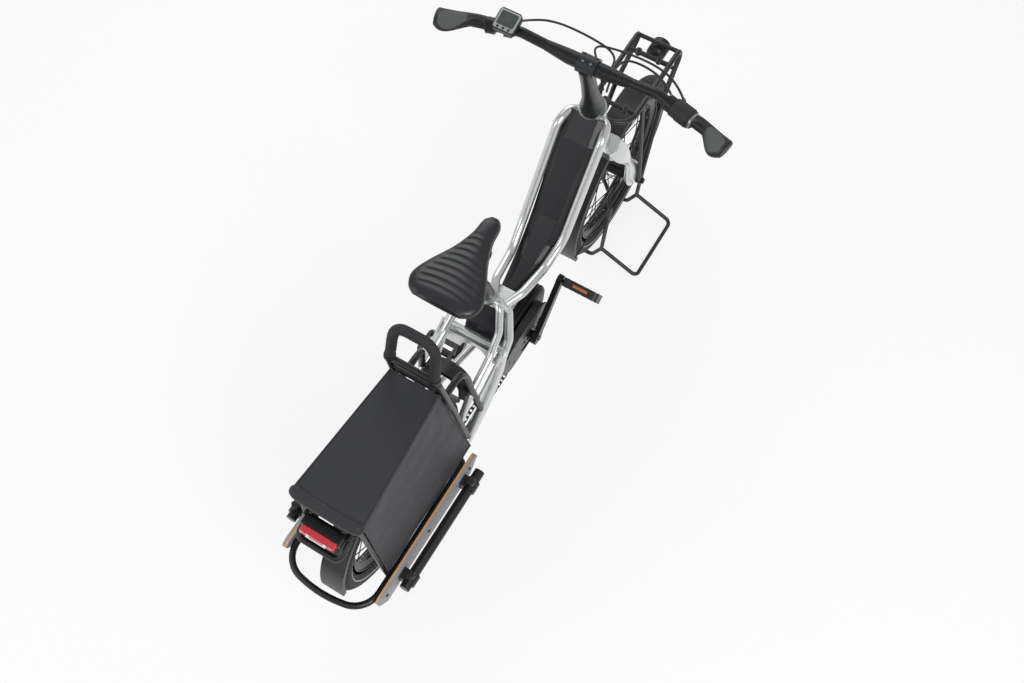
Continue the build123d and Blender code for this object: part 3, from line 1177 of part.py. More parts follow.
def passenger_ring():
    """Hoop whose legs stand on the stays, and the ring behind it that carries the cloth."""
    corner, foot = hoop_line()
    hoop = [foot, corner, Vector(corner.X, -corner.Y, corner.Z), Vector(foot.X, -foot.Y, foot.Z)]
    body = bent_bar(hoop, RING_TUBE_R, [RING_TUBE_R * 3, RING_TUBE_R * 3])
    ring_z = ring_corner(True).Z
    leg = mix(corner, foot, (corner.Z - ring_z) / (corner.Z - foot.Z))
    body += cross_bar(Vector(leg.X, 0, ring_z), RING_TUBE_R * 0.9, leg.Y)
    rear = ring_corner(False)
    ring = [Vector(leg.X, ring_corner(True).Y, ring_z), rear, Vector(rear.X, -rear.Y, rear.Z),
            Vector(leg.X, -ring_corner(True).Y, ring_z)]
    body += bent_bar(ring, RING_TUBE_R, [RING_TUBE_R * 2, RING_TUBE_R * 2])
    hem = cloth_corner(False, False)
    knee = Vector(hem.X + RING_TUBE_R * 2, hem.Y - COVER_T * 2 - RING_TUBE_R, hem.Z)
    low = Vector(knee.X, LOWER_TUBE_Y, LOWER_TUBE_Z)
    body += both_sides(bent_bar([rear, knee, low], RING_TUBE_R, [RING_TUBE_R * 2]))
    return body - both_sides(rear_triangle(1)) - lower_tube()


def grab_handle():
    """Rubber-wrapped arch that rises from the hoop."""
    low = Vector(HOOP_X, HOOP_HALF_W - HANDLE_R / 2, HOOP_Z)
    high = Vector(HOOP_X + HANDLE_R * 1.4, HOOP_HALF_W * 0.8, HOOP_Z + HANDLE_RISE)
    points = [low, high, Vector(high.X, -high.Y, high.Z), Vector(low.X, -low.Y, low.Z)]
    arch = bent_bar(points, HANDLE_R, [HOOP_HALF_W * 0.72, HOOP_HALF_W * 0.72])
    return arch - passenger_ring() - straight_bar(low, Vector(low.X, low.Y, low.Z - HANDLE_R * 2), HANDLE_R * 2)


def fabric_section(front, shrink, spill):
    """Slanting section across the cloth cover at its front or rear, shrunk and shifted by margins."""
    top = cloth_corner(front, True)
    low = cloth_corner(front, False)
    if shrink:
        top = Vector(top.X + spill, top.Y - shrink, top.Z - shrink)
        low = low + (low - cloth_corner(front, True)).normalized() * OVERRUN
        low = Vector(low.X + spill, low.Y - shrink, low.Z)
    return make_face(Polyline(top, low, Vector(low.X, -low.Y, low.Z), Vector(top.X, -top.Y, top.Z), close=True))


def fabric_cover():
    """Cloth stretched over the ring: a top and two sides, open at the front, rear and below."""
    outer = loft([fabric_section(True, 0, 0), fabric_section(False, 0, 0)])
    inner = loft([fabric_section(True, COVER_T, OVERRUN), fabric_section(False, COVER_T, -OVERRUN)])
    return outer - inner


def tail_lamp():
    """Tail lamp's lens in front of its case."""
    near = DECK_REAR_X - DECK_TUBE_R - TAIL_CASE_T - SEAT_GAP
    case = Box(TAIL_LAMP_T, TAIL_LAMP_W, TAIL_LAMP_H)
    case = fillet(case.edges().filter_by(Axis.X), radius=TAIL_LAMP_H / 4)
    return Pos(near - TAIL_LAMP_T / 2, 0, DECK_Z + TAIL_LAMP_H / 4) * case


def tail_case():
    """Black case that carries the tail lamp's lens behind the last cross tube."""
    near = DECK_REAR_X
    width = TAIL_LAMP_W + TAIL_CASE_RIM * 2
    height = TAIL_LAMP_H + TAIL_CASE_RIM * 2
    case = Box(TAIL_CASE_T + DECK_TUBE_R, width, height, align=(Align.MAX, Align.CENTER, Align.CENTER))
    return Pos(near, 0, DECK_Z + TAIL_LAMP_H / 4) * case


def tail_loop():
    """Tube loop that guards the tail lamp."""
    top = Vector(DECK_REAR_X + DECK_TUBE_R, DECK_HALF_W, DECK_Z - DECK_TUBE_R - RING_TUBE_R)
    out = Vector(DECK_REAR_X - TAIL_LAMP_T - TAIL_CASE_T - TAIL_LOOP_OUT / 2, DECK_HALF_W, DECK_Z - TAIL_LOOP_DROP)
    points = [top, out, Vector(out.X, -out.Y, out.Z), Vector(top.X, -top.Y, top.Z)]
    return bent_bar(points, RING_TUBE_R, [RING_TUBE_R * 2, RING_TUBE_R * 2])


def lower_tube():
    """Low tube loop: from each stay out to the board, back along it and round the rear as a bumper."""
    stay = stay_points()
    start = mix(stay[4], stay[5], 0.25)
    side = Vector(BOARD_FRONT_X - BOARD_CUT, LOWER_TUBE_Y, LOWER_TUBE_Z)
    turn = Vector(BUMPER_BULGE - BUMPER_REACH, LOWER_TUBE_Y, LOWER_TUBE_Z)
    back = Vector(-BUMPER_REACH, 0, LOWER_TUBE_Z)
    left = [start, side, turn]
    right = [Vector(p.X, -p.Y, p.Z) for p in reversed(left)]
    bends = [BUMPER_R * 3, LOWER_TUBE_Y * 0.58]
    loop = bent_bar(left + [back] + right, BUMPER_R, bends + [LOWER_TUBE_Y * 2.4] + bends[::-1])
    strut = straight_bar(mix(stay[4], stay[5], 0.75), Vector(stay[5].X, LOWER_TUBE_Y, LOWER_TUBE_Z), BUMPER_R * 0.8)
    return loop + both_sides(strut) - both_sides(rear_triangle(1))


def side_board(side):
    """Plywood side board, its ends cut to a slant with rounded corners."""
    low = BOARD_TOP - BOARD_H
    outline = [(BOARD_REAR_X, BOARD_TOP - BOARD_CUT * 0.3), (BOARD_REAR_X + BOARD_CUT * 0.5, BOARD_TOP),
               (BOARD_FRONT_X - BOARD_CUT * 0.5, BOARD_TOP), (BOARD_FRONT_X, BOARD_TOP - BOARD_CUT * 0.3),
               (BOARD_FRONT_X - BOARD_CUT, low), (BOARD_REAR_X + BOARD_CUT, low)]
    board = side_plate(outline, side * BOARD_Y, BOARD_T)
    return fillet(board.edges().filter_by(Axis.Y), radius=BOARD_CUT * 0.28)


def foot_bar(side):
    """Foot bar beside a board, held by a clamp block with a knob at each end."""
    left = side * FOOT_BAR_Y
    bar = straight_bar(Vector(FOOT_BAR_REAR_X, left, FOOT_BAR_Z), Vector(FOOT_BAR_FRONT_X, left, FOOT_BAR_Z), FOOT_BAR_R)
    near = BOARD_Y + BOARD_T + SEAT_GAP
    reach = FOOT_BAR_Y - near
    for x in (FOOT_BAR_REAR_X + CLAMP_BLOCK, FOOT_BAR_FRONT_X - CLAMP_BLOCK * 1.5):
        block = Pos(x, side * (near + reach / 2), FOOT_BAR_Z) * Box(CLAMP_BLOCK, reach, CLAMP_BLOCK)
        middle = Vector(x, left, FOOT_BAR_Z)
        half = Vector(CLAMP_BLOCK / 2, 0, 0)
        sleeve = straight_bar(middle - half, middle + half, FOOT_BAR_R * 1.35)
        knob_top = middle + Vector(0, 0, FOOT_BAR_R * 1.2 + CLAMP_KNOB_H)
        knob = straight_bar(middle, knob_top, CLAMP_KNOB_R)
        bar += block + sleeve + knob
    return bar


def rear_mudguard():
    """Rear mudguard over the wheel, hung from the carrier's cross tubes."""
    band = mudguard(REAR_GUARD_FROM, REAR_GUARD_TO)
    reach = TYRE_R + GUARD_GAP
    for share in DECK_CROSS_SHARES[1:3]:
        x = mix(DECK_REAR_X, DECK_FRONT_X, share)
        foot = Vector(x, 0, math.sqrt(reach * reach - x * x))
        band += straight_bar(foot, Vector(x, 0, DECK_Z - TYRE_R), GUARD_W / 12)
    band -= wheel_room()
    for share in DECK_CROSS_SHARES[1:3]:
        x = mix(DECK_REAR_X, DECK_FRONT_X, share)
        band -= cross_bar(Vector(x, 0, DECK_Z - TYRE_R), DECK_TUBE_R * 0.9, DECK_HALF_W)
    return Pos(*REAR_AXLE) * band


def build():
    """Write every piece."""
    keep("front_tyre", tyre(FRONT_AXLE))
    keep("front_wheel", wheel(FRONT_AXLE, FRONT_HUB_R, FRONT_HUB_W, FRONT_FLANGE_R))
    keep("front_disc", brake_disc(FRONT_AXLE, FRONT_HUB_W, FRONT_HUB_R))
    keep("front_brake", caliper(FRONT_AXLE, FRONT_HUB_W, CALIPER_TURN) - fork())
    keep("control_cables", control_cables())
    keep("rear_tyre", tyre(REAR_AXLE))
    keep("rear_wheel", wheel(REAR_AXLE, REAR_HUB_R, REAR_HUB_W, REAR_FLANGE_R, True))
    keep("fork", fork())
    keep("stem", stem())
    keep("handlebar", handlebar())
    keep("grip_left", grip(GRIP_LEN))
    right_len = GRIP_LEN - SHIFTER_GAP
    keep("grip_right", mirror(grip(right_len * 0.82), about=Plane.XZ))
    lever_back = GRIP_LEN + BRAKE_CLAMP_W + SHIFTER_GAP
    shifter_back = right_len * 0.82 + SHIFTER_GAP + SHIFTER_LEN
    keep("brake_lever_left", brake_lever(lever_back))
    keep("brake_lever_right", mirror(brake_lever(shifter_back + BRAKE_CLAMP_W + SHIFTER_GAP), about=Plane.XZ))
    keep("twist_shifter", mirror(twist_shifter(shifter_back), about=Plane.XZ))
    keep("display", display())
    keep("front_rack", front_rack())
    keep("headlamp", headlamp())
    keep("front_mudguard", front_mudguard())
    keep("display_stand", display_stand())
    keep("head_tube", head_tube())
    rail = side_rail()
    keep("side_rail_left", rail)
    keep("side_rail_right", mirror(rail, about=Plane.XZ))
    keep("battery_cover", battery_cover())
    keep("battery_case", battery_case())
    keep("seat_tube", seat_tube())
    keep("seat_post", seat_post())
    keep("saddle", saddle())
    keep("motor", motor())
    keep("splash_cover", splash_cover())
    keep("ring_lock", ring_lock())
    keep("rear_stay_left", rear_triangle(1))
    keep("rear_stay_right", rear_triangle(-1))
    keep("cross_beam", cross_beam())
    keep("rear_axle", rear_axle())
    keep("crankset", crankset())
    keep("pedal_left", pedal(1))
    keep("pedal_right", pedal(-1))
    keep("belt", belt())
    keep("chain_guard", chain_guard())
    keep("rear_carrier", rear_carrier())
    keep("passenger_ring", passenger_ring())
    keep("grab_handle", grab_handle())
    keep("fabric_cover", fabric_cover())
    keep("tail_lamp", tail_lamp())
    keep("tail_loop", tail_loop())
    keep("lower_tube", lower_tube())
    keep("side_board_left", side_board(1))
    keep("side_board_right", side_board(-1))
    keep("foot_bar_left", foot_bar(1))
    keep("foot_bar_right", foot_bar(-1))
    keep("rear_mudguard", rear_mudguard())


build()
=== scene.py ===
"""Looks of an electric cargo bike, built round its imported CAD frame.

Every place is in metres in the CAD's own frame: X forward, Y to the rider's left, Z up from the
floor, with the origin below the middle of the bike.
"""
import logging
import math
from dataclasses import dataclass
from enum import Enum
from typing import Callable, Iterable, Sequence

import bmesh
import bpy
from mathutils import Euler, Matrix, Vector, noise


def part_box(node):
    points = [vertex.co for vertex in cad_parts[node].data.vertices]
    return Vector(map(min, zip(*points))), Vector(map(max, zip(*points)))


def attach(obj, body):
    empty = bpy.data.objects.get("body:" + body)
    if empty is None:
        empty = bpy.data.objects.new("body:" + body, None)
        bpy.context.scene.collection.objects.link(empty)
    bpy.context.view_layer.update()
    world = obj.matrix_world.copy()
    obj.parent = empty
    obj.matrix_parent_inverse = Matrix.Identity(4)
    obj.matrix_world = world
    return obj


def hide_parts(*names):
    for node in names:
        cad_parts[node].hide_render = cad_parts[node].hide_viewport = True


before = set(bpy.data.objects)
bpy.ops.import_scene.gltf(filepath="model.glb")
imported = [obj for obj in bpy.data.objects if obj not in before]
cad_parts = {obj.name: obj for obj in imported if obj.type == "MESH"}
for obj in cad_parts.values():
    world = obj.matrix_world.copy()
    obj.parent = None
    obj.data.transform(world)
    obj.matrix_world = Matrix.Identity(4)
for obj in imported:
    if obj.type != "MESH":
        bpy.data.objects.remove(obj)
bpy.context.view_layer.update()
LOG = logging.getLogger("cargo_bike")

MM = 0.001
MIDDLE_X = 0.5225
AXLE_Z = 263.0
CRANK_X = 522.0
CRANK_Z = 300.0
FRAME_WIDTH_PX = 1024
FRAME_HEIGHT_PX = 683


def at(x: float, y: float, z: float) -> Vector:
    """Point given in millimetres from the rear axle's foot, in the CAD's frame."""
    return Vector((x * MM - MIDDLE_X, y * MM, z * MM))


FRONT_AXLE = at(1102.0, 0.0, AXLE_Z)
REAR_AXLE = at(0.0, 0.0, AXLE_Z)
BOARD_X = (-236.0, -60.0, 118.0)


# Colour and shader nodes

def linear(hex_colour: str) -> tuple[float, float, float, float]:
    """Linear colour of an sRGB hex value."""
    parts = [int(hex_colour[i:i + 2], 16) / 255 for i in (1, 3, 5)]
    red, green, blue = [p / 12.92 if p <= 0.04045 else ((p + 0.055) / 1.055) ** 2.4 for p in parts]
    return red, green, blue, 1.0


def shade(hex_colour: str, factor: float) -> tuple[float, float, float, float]:
    """Linear colour of a hex value, made darker or lighter by a factor."""
    red, green, blue, alpha = linear(hex_colour)
    return min(red * factor, 1.0), min(green * factor, 1.0), min(blue * factor, 1.0), alpha


def add_node(tree: bpy.types.NodeTree, kind: str, settings: dict | None = None,
             links: dict | None = None) -> bpy.types.Node:
    """Adds a node with its settings and incoming links.

    Args:
        tree: the tree that gets the node.
        kind: the node's type name.
        settings: attribute names, or input names or numbers, to values.
        links: input names or numbers to the output sockets that feed them.

    Returns:
        The new node.
    """
    node = tree.nodes.new(kind)
    for key, value in (settings or {}).items():
        if isinstance(key, str) and hasattr(node, key):
            setattr(node, key, value)
        else:
            node.inputs[key].default_value = value
    for key, socket in (links or {}).items():
        tree.links.new(socket, node.inputs[key])
    return node


class Pattern(Enum):
    """How a surface was made, which sets its fine relief."""
    LACQUER = "sprayed metallic lacquer"
    POWDER = "powder coat"
    GRAIN = "moulded plastic grain"
    BRUSHED = "brushed metal"
    WEAVE = "woven cloth"
    LEATHER = "pressed hide"
    PLY = "plywood edge and laminate face"
    RUBBER = "moulded rubber"
    FOAM = "wrapped foam"
    CLEAR = "clear moulding"


@dataclass(frozen=True)
class Finish:
    """A finish of one real material.

    Attributes:
        name: the material's common name and how it was made.
        colour: sRGB hex colour.
        roughness: mean roughness.
        metallic: 1 for bare metal.
        pattern: how the surface was made.
        pitch_mm: distance between the pattern's marks.
        relief_mm: height of the pattern's marks.
        spread: how far the colour varies, as a share.
        coat: weight of a clear coat.
        sheen: weight of a cloth sheen.
    """
    name: str
    colour: str
    roughness: float
    metallic: float = 0.0
    pattern: Pattern = Pattern.GRAIN
    pitch_mm: float = 1.2
    relief_mm: float = 0.05
    spread: float = 0.12
    coat: float = 0.0
    sheen: float = 0.0

    def material(self) -> bpy.types.Material:
        """The finish as a material, made once."""
        known = bpy.data.materials.get(self.name)
        if known:
            return known
        made = bpy.data.materials.new(self.name)
        made.use_nodes = True
        tree = made.node_tree
        tree.nodes.clear()
        place = add_node(tree, "ShaderNodeTexCoord").outputs["Object"]
        shader = add_node(tree, "ShaderNodeBsdfPrincipled", {
            "Metallic": self.metallic, "Coat Weight": self.coat, "Coat Roughness": 0.12,
            "Sheen Weight": self.sheen, "Sheen Roughness": 0.5})
        height = self.height(tree, place)
        bump = add_node(tree, "ShaderNodeBump", {"Strength": 1.0, "Distance": self.relief_mm * MM},
                        {"Height": height})
        tree.links.new(bump.outputs["Normal"], shader.inputs["Normal"])
        patches = add_node(tree, "ShaderNodeTexNoise", {"Scale": 9.0, "Detail": 4.0}, {"Vector": place})
        tint = add_node(tree, "ShaderNodeMix", {
            "data_type": "RGBA", 6: shade(self.colour, 1 - self.spread),
            7: shade(self.colour, 1 + self.spread)},
            {0: patches.outputs["Fac"]})
        tree.links.new(tint.outputs[2], shader.inputs["Base Color"])
        if self.pattern == Pattern.PLY:
            self.ply_edge(tree, place, tint, shader)
        wear = add_node(tree, "ShaderNodeMapRange", {
            "To Min": max(self.roughness - 0.07, 0.04), "To Max": min(self.roughness + 0.09, 1.0)},
            {"Value": height})
        tree.links.new(wear.outputs["Result"], shader.inputs["Roughness"])
        add_node(tree, "ShaderNodeOutputMaterial", None, {"Surface": shader.outputs["BSDF"]})
        return made

    def ply_edge(self, tree: bpy.types.NodeTree, place: bpy.types.NodeSocket, tint: bpy.types.Node,
                 shader: bpy.types.Node) -> None:
        """Shows bare wood with glued layers between the board's two laminate faces.

        Args:
            tree: the material's tree.
            place: object coordinates.
            tint: the mix that gives the laminate's colour.
            shader: the surface shader.
        """
        apart = add_node(tree, "ShaderNodeSeparateXYZ", None, {0: place})
        side = add_node(tree, "ShaderNodeMath", {"operation": "ABSOLUTE"}, {0: apart.outputs["Y"]})
        centred = add_node(tree, "ShaderNodeMath", {"operation": "SUBTRACT", 1: 0.1228}, {0: side.outputs[0]})
        near = add_node(tree, "ShaderNodeMath", {"operation": "ABSOLUTE"}, {0: centred.outputs[0]})
        edge = add_node(tree, "ShaderNodeMath", {"operation": "LESS_THAN", 1: 0.0026}, {0: near.outputs[0]})
        layers = add_node(tree, "ShaderNodeMath", {"operation": "PINGPONG", 1: 0.0011}, {0: side.outputs[0]})
        line = add_node(tree, "ShaderNodeMapRange", {"From Min": 0.0001, "From Max": 0.0004},
                        {"Value": layers.outputs[0]})
        wood = add_node(tree, "ShaderNodeMix",
                        {"data_type": "RGBA", 6: linear("#8a6540"), 7: linear("#c79f70")},
                        {0: line.outputs["Result"]})
        both = add_node(tree, "ShaderNodeMix", {"data_type": "RGBA"},
                        {0: edge.outputs[0], 6: tint.outputs[2], 7: wood.outputs[2]})
        tree.links.new(both.outputs[2], shader.inputs["Base Color"])

    def height(self, tree: bpy.types.NodeTree, place: bpy.types.NodeSocket) -> bpy.types.NodeSocket:
        """The pattern's height over the surface.

        Args:
            tree: the material's tree.
            place: the coordinates that the pattern follows.

        Returns:
            The socket that gives the height, from 0 to 1.
        """
        per_metre = 1 / (self.pitch_mm * MM)
        if self.pattern == Pattern.BRUSHED:
            stretched = add_node(tree, "ShaderNodeMapping", {"Scale": (0.06, 1.0, 1.0)}, {"Vector": place})
            lines = add_node(tree, "ShaderNodeTexNoise", {"Scale": per_metre, "Detail": 3.0},
                             {"Vector": stretched.outputs["Vector"]})
            return lines.outputs["Fac"]
        if self.pattern == Pattern.WEAVE:
            fine = add_node(tree, "ShaderNodeTexNoise", {"Scale": per_metre, "Detail": 2.0},
                            {"Vector": place})
            folds = add_node(tree, "ShaderNodeTexNoise", {"Scale": 15.0, "Detail": 3.0, "Distortion": 0.7},
                             {"Vector": place})
            both = add_node(tree, "ShaderNodeMath", {"operation": "MULTIPLY_ADD", 1: 0.03},
                            {0: fine.outputs["Fac"], 2: folds.outputs["Fac"]})
            return both.outputs[0]
        if self.pattern == Pattern.LEATHER:
            cells = add_node(tree, "ShaderNodeTexVoronoi",
                             {"feature": "DISTANCE_TO_EDGE", "Scale": per_metre},
                             {"Vector": place})
            edges = add_node(tree, "ShaderNodeMapRange", {"From Max": 0.3},
                             {"Value": cells.outputs["Distance"]})
            return edges.outputs[0]
        detail = 6.0 if self.pattern in (Pattern.RUBBER, Pattern.FOAM) else 2.0
        grain = add_node(tree, "ShaderNodeTexNoise", {"Scale": per_metre, "Detail": detail},
                         {"Vector": place})
        return grain.outputs["Fac"]


# Aluminium sprayed with silver lacquer: bright, with a clear coat that keeps sharp highlights
FRAME_SILVER = Finish("silver_lacquer_on_aluminium", "#cfd1d0", 0.24, 0.82, Pattern.LACQUER, 0.6, 0.01, 0.04,
                      0.7)
# Steel tube with black powder coat: satin, with a faint orange-peel skin
RACK_BLACK = Finish("black_powder_coated_tube", "#121315", 0.33, 0.0, Pattern.POWDER, 1.4, 0.04, 0.15)
# Anodised black aluminium: smooth and slightly metallic
ALLOY_BLACK = Finish("black_anodised_aluminium", "#151618", 0.32, 0.35, Pattern.POWDER, 0.8, 0.02, 0.12)
STEM_GREY = Finish("satin_painted_stem_alloy", "#222427", 0.32, 0.3, Pattern.POWDER, 0.8, 0.02, 0.1)
# Turned and brushed steel: fine lines along the part
STEEL = Finish("brushed_steel_hardware", "#9b9c9e", 0.3, 1.0, Pattern.BRUSHED, 0.5, 0.02, 0.08)
# Black nylon mouldings: fine spark-eroded grain
NYLON = Finish("moulded_black_nylon", "#111113", 0.42, 0.0, Pattern.GRAIN, 0.9, 0.05, 0.14)
# Satin ABS of the battery cover: smooth with a soft sheen
COVER_ABS = Finish("satin_dark_abs_cover", "#1b1b1e", 0.3, 0.0, Pattern.GRAIN, 0.7, 0.015, 0.08)
TYRE_RUBBER = Finish("moulded_tyre_rubber", "#1a1b1c", 0.68, 0.0, Pattern.RUBBER, 1.6, 0.12, 0.18)
GRIP_RUBBER = Finish("soft_grip_rubber", "#131416", 0.55, 0.0, Pattern.RUBBER, 1.1, 0.08, 0.12)
PALM_RUBBER = Finish("grey_palm_rubber", "#4a4d4b", 0.75, 0.0, Pattern.RUBBER, 1.0, 0.1, 0.12)
HANDLE_FOAM = Finish("wrapped_foam_handle", "#1b1c1e", 0.7, 0.0, Pattern.FOAM, 1.3, 0.2, 0.2)
SADDLE_SKIN = Finish("pressed_saddle_leatherette", "#16171a", 0.34, 0.0, Pattern.LEATHER, 1.5, 0.03, 0.1)
CLOTH = Finish("woven_polyester_cover_cloth", "#1f2025", 0.58, 0.0, Pattern.WEAVE, 1.1, 1.3, 0.08, 0.0, 0.05)
BOARD_GREY = Finish("grey_laminate_faced_birch_ply", "#8f8d8e", 0.5, 0.0, Pattern.PLY, 1.0, 0.03, 0.06)
LENS_RED = Finish("clear_red_lens", "#c4222c", 0.15, 0.0, Pattern.CLEAR, 4.0, 0.1, 0.1, 0.8)
STAND_WIRE = Finish("black_dipped_stand_wire", "#242527", 0.4, 0.1, Pattern.POWDER, 1.0, 0.03, 0.15)

SADDLE_EDGE = Finish("smooth_saddle_piping", "#1c1d1f", 0.35, 0.0, Pattern.LEATHER, 1.2, 0.02, 0.08)
CLOTH_WELT = Finish("folded_cloth_hem", "#1c1d20", 0.6, 0.0, Pattern.WEAVE, 1.2, 0.6, 0.1, 0.0, 0.05)
THREAD = Finish("twisted_black_thread", "#3a3b40", 0.7, 0.0, Pattern.WEAVE, 0.4, 0.05, 0.1)
REFLEX_STRIPE = Finish("reflective_tyre_stripe", "#9b9c9c", 0.45, 0.0, Pattern.GRAIN, 0.5, 0.02, 0.08)
LENS_AMBER = Finish("amber_reflector_lens", "#a85a1c", 0.2, 0.0, Pattern.CLEAR, 2.5, 0.15, 0.15, 0.8)
LENS_CLEAR = Finish("clear_lamp_lens", "#dfe3e4", 0.08, 0.0, Pattern.CLEAR, 4.0, 0.05, 0.04, 1.0)
CHROME = Finish("vacuum_metallised_reflector", "#dcdddd", 0.08, 1.0, Pattern.CLEAR, 3.0, 0.02, 0.03)
BEZEL_GREY = Finish("grey_display_bezel", "#8d9192", 0.4, 0.1, Pattern.GRAIN, 0.8, 0.02, 0.05)
LCD_GLASS = Finish("dark_display_glass", "#2a332f", 0.12, 0.0, Pattern.CLEAR, 5.0, 0.01, 0.05, 1.0)
LCD_MARK = Finish("faint_display_segments", "#3d4a40", 0.5, 0.0, Pattern.CLEAR, 2.0, 0.01, 0.05)
SEAM_BLACK = Finish("cover_parting_line", "#0d0d0e", 0.55, 0.0, Pattern.GRAIN, 0.8, 0.01, 0.05)

GUARD_SATIN = Finish("satin_moulded_guard_nylon", "#1b1c1f", 0.36, 0.0, Pattern.GRAIN, 0.9, 0.03, 0.1)
SPLASH_SATIN = Finish("satin_moulded_splash_cover", "#28292c", 0.3, 0.0, Pattern.GRAIN, 0.9, 0.03, 0.12)
HOSE_BLACK = Finish("extruded_black_hose", "#17181a", 0.4, 0.0, Pattern.RUBBER, 0.8, 0.02, 0.1)
MOTOR_CAST = Finish("powder_coated_cast_motor_case", "#131416", 0.45, 0.2, Pattern.POWDER, 1.0, 0.05, 0.12)
CHAIN_STEEL = Finish("oiled_chain_steel", "#4b4c4f", 0.38, 0.85, Pattern.BRUSHED, 0.5, 0.02, 0.15)

NODE_FINISHES: dict[str, Finish] = {
    "front_tyre": TYRE_RUBBER, "rear_tyre": TYRE_RUBBER,
    "front_wheel": ALLOY_BLACK, "rear_wheel": ALLOY_BLACK, "front_disc": STEEL,
    "fork": FRAME_SILVER, "stem": STEM_GREY, "handlebar": ALLOY_BLACK,
    "grip_left": GRIP_RUBBER, "grip_right": GRIP_RUBBER, "twist_shifter": GRIP_RUBBER,
    "brake_lever_left": ALLOY_BLACK, "brake_lever_right": ALLOY_BLACK, "display": NYLON,
    "front_rack": RACK_BLACK, "headlamp": NYLON, "front_mudguard": NYLON, "display_stand": STAND_WIRE,
    "head_tube": FRAME_SILVER, "side_rail_left": FRAME_SILVER, "side_rail_right": FRAME_SILVER,
    "battery_cover": COVER_ABS, "battery_case": NYLON, "seat_tube": FRAME_SILVER,
    "seat_post": ALLOY_BLACK, "saddle": SADDLE_SKIN, "motor": NYLON,
    "rear_stay_left": FRAME_SILVER, "rear_stay_right": FRAME_SILVER, "cross_beam": FRAME_SILVER,
    "front_brake": ALLOY_BLACK, "control_cables": GRIP_RUBBER, "ring_lock": NYLON,
    "splash_cover": SPLASH_SATIN,
    "rear_axle": STEEL, "crankset": ALLOY_BLACK, "pedal_left": NYLON, "pedal_right": NYLON,
    "belt": STEEL, "chain_guard": GUARD_SATIN, "rear_carrier": RACK_BLACK, "passenger_ring": RACK_BLACK,
    "grab_handle": HANDLE_FOAM, "fabric_cover": CLOTH, "tail_lamp": LENS_RED, "tail_loop": RACK_BLACK,
    "lower_tube": RACK_BLACK, "side_board_left": BOARD_GREY, "side_board_right": BOARD_GREY,
    "foot_bar_left": RACK_BLACK, "foot_bar_right": RACK_BLACK, "rear_mudguard": NYLON,
}


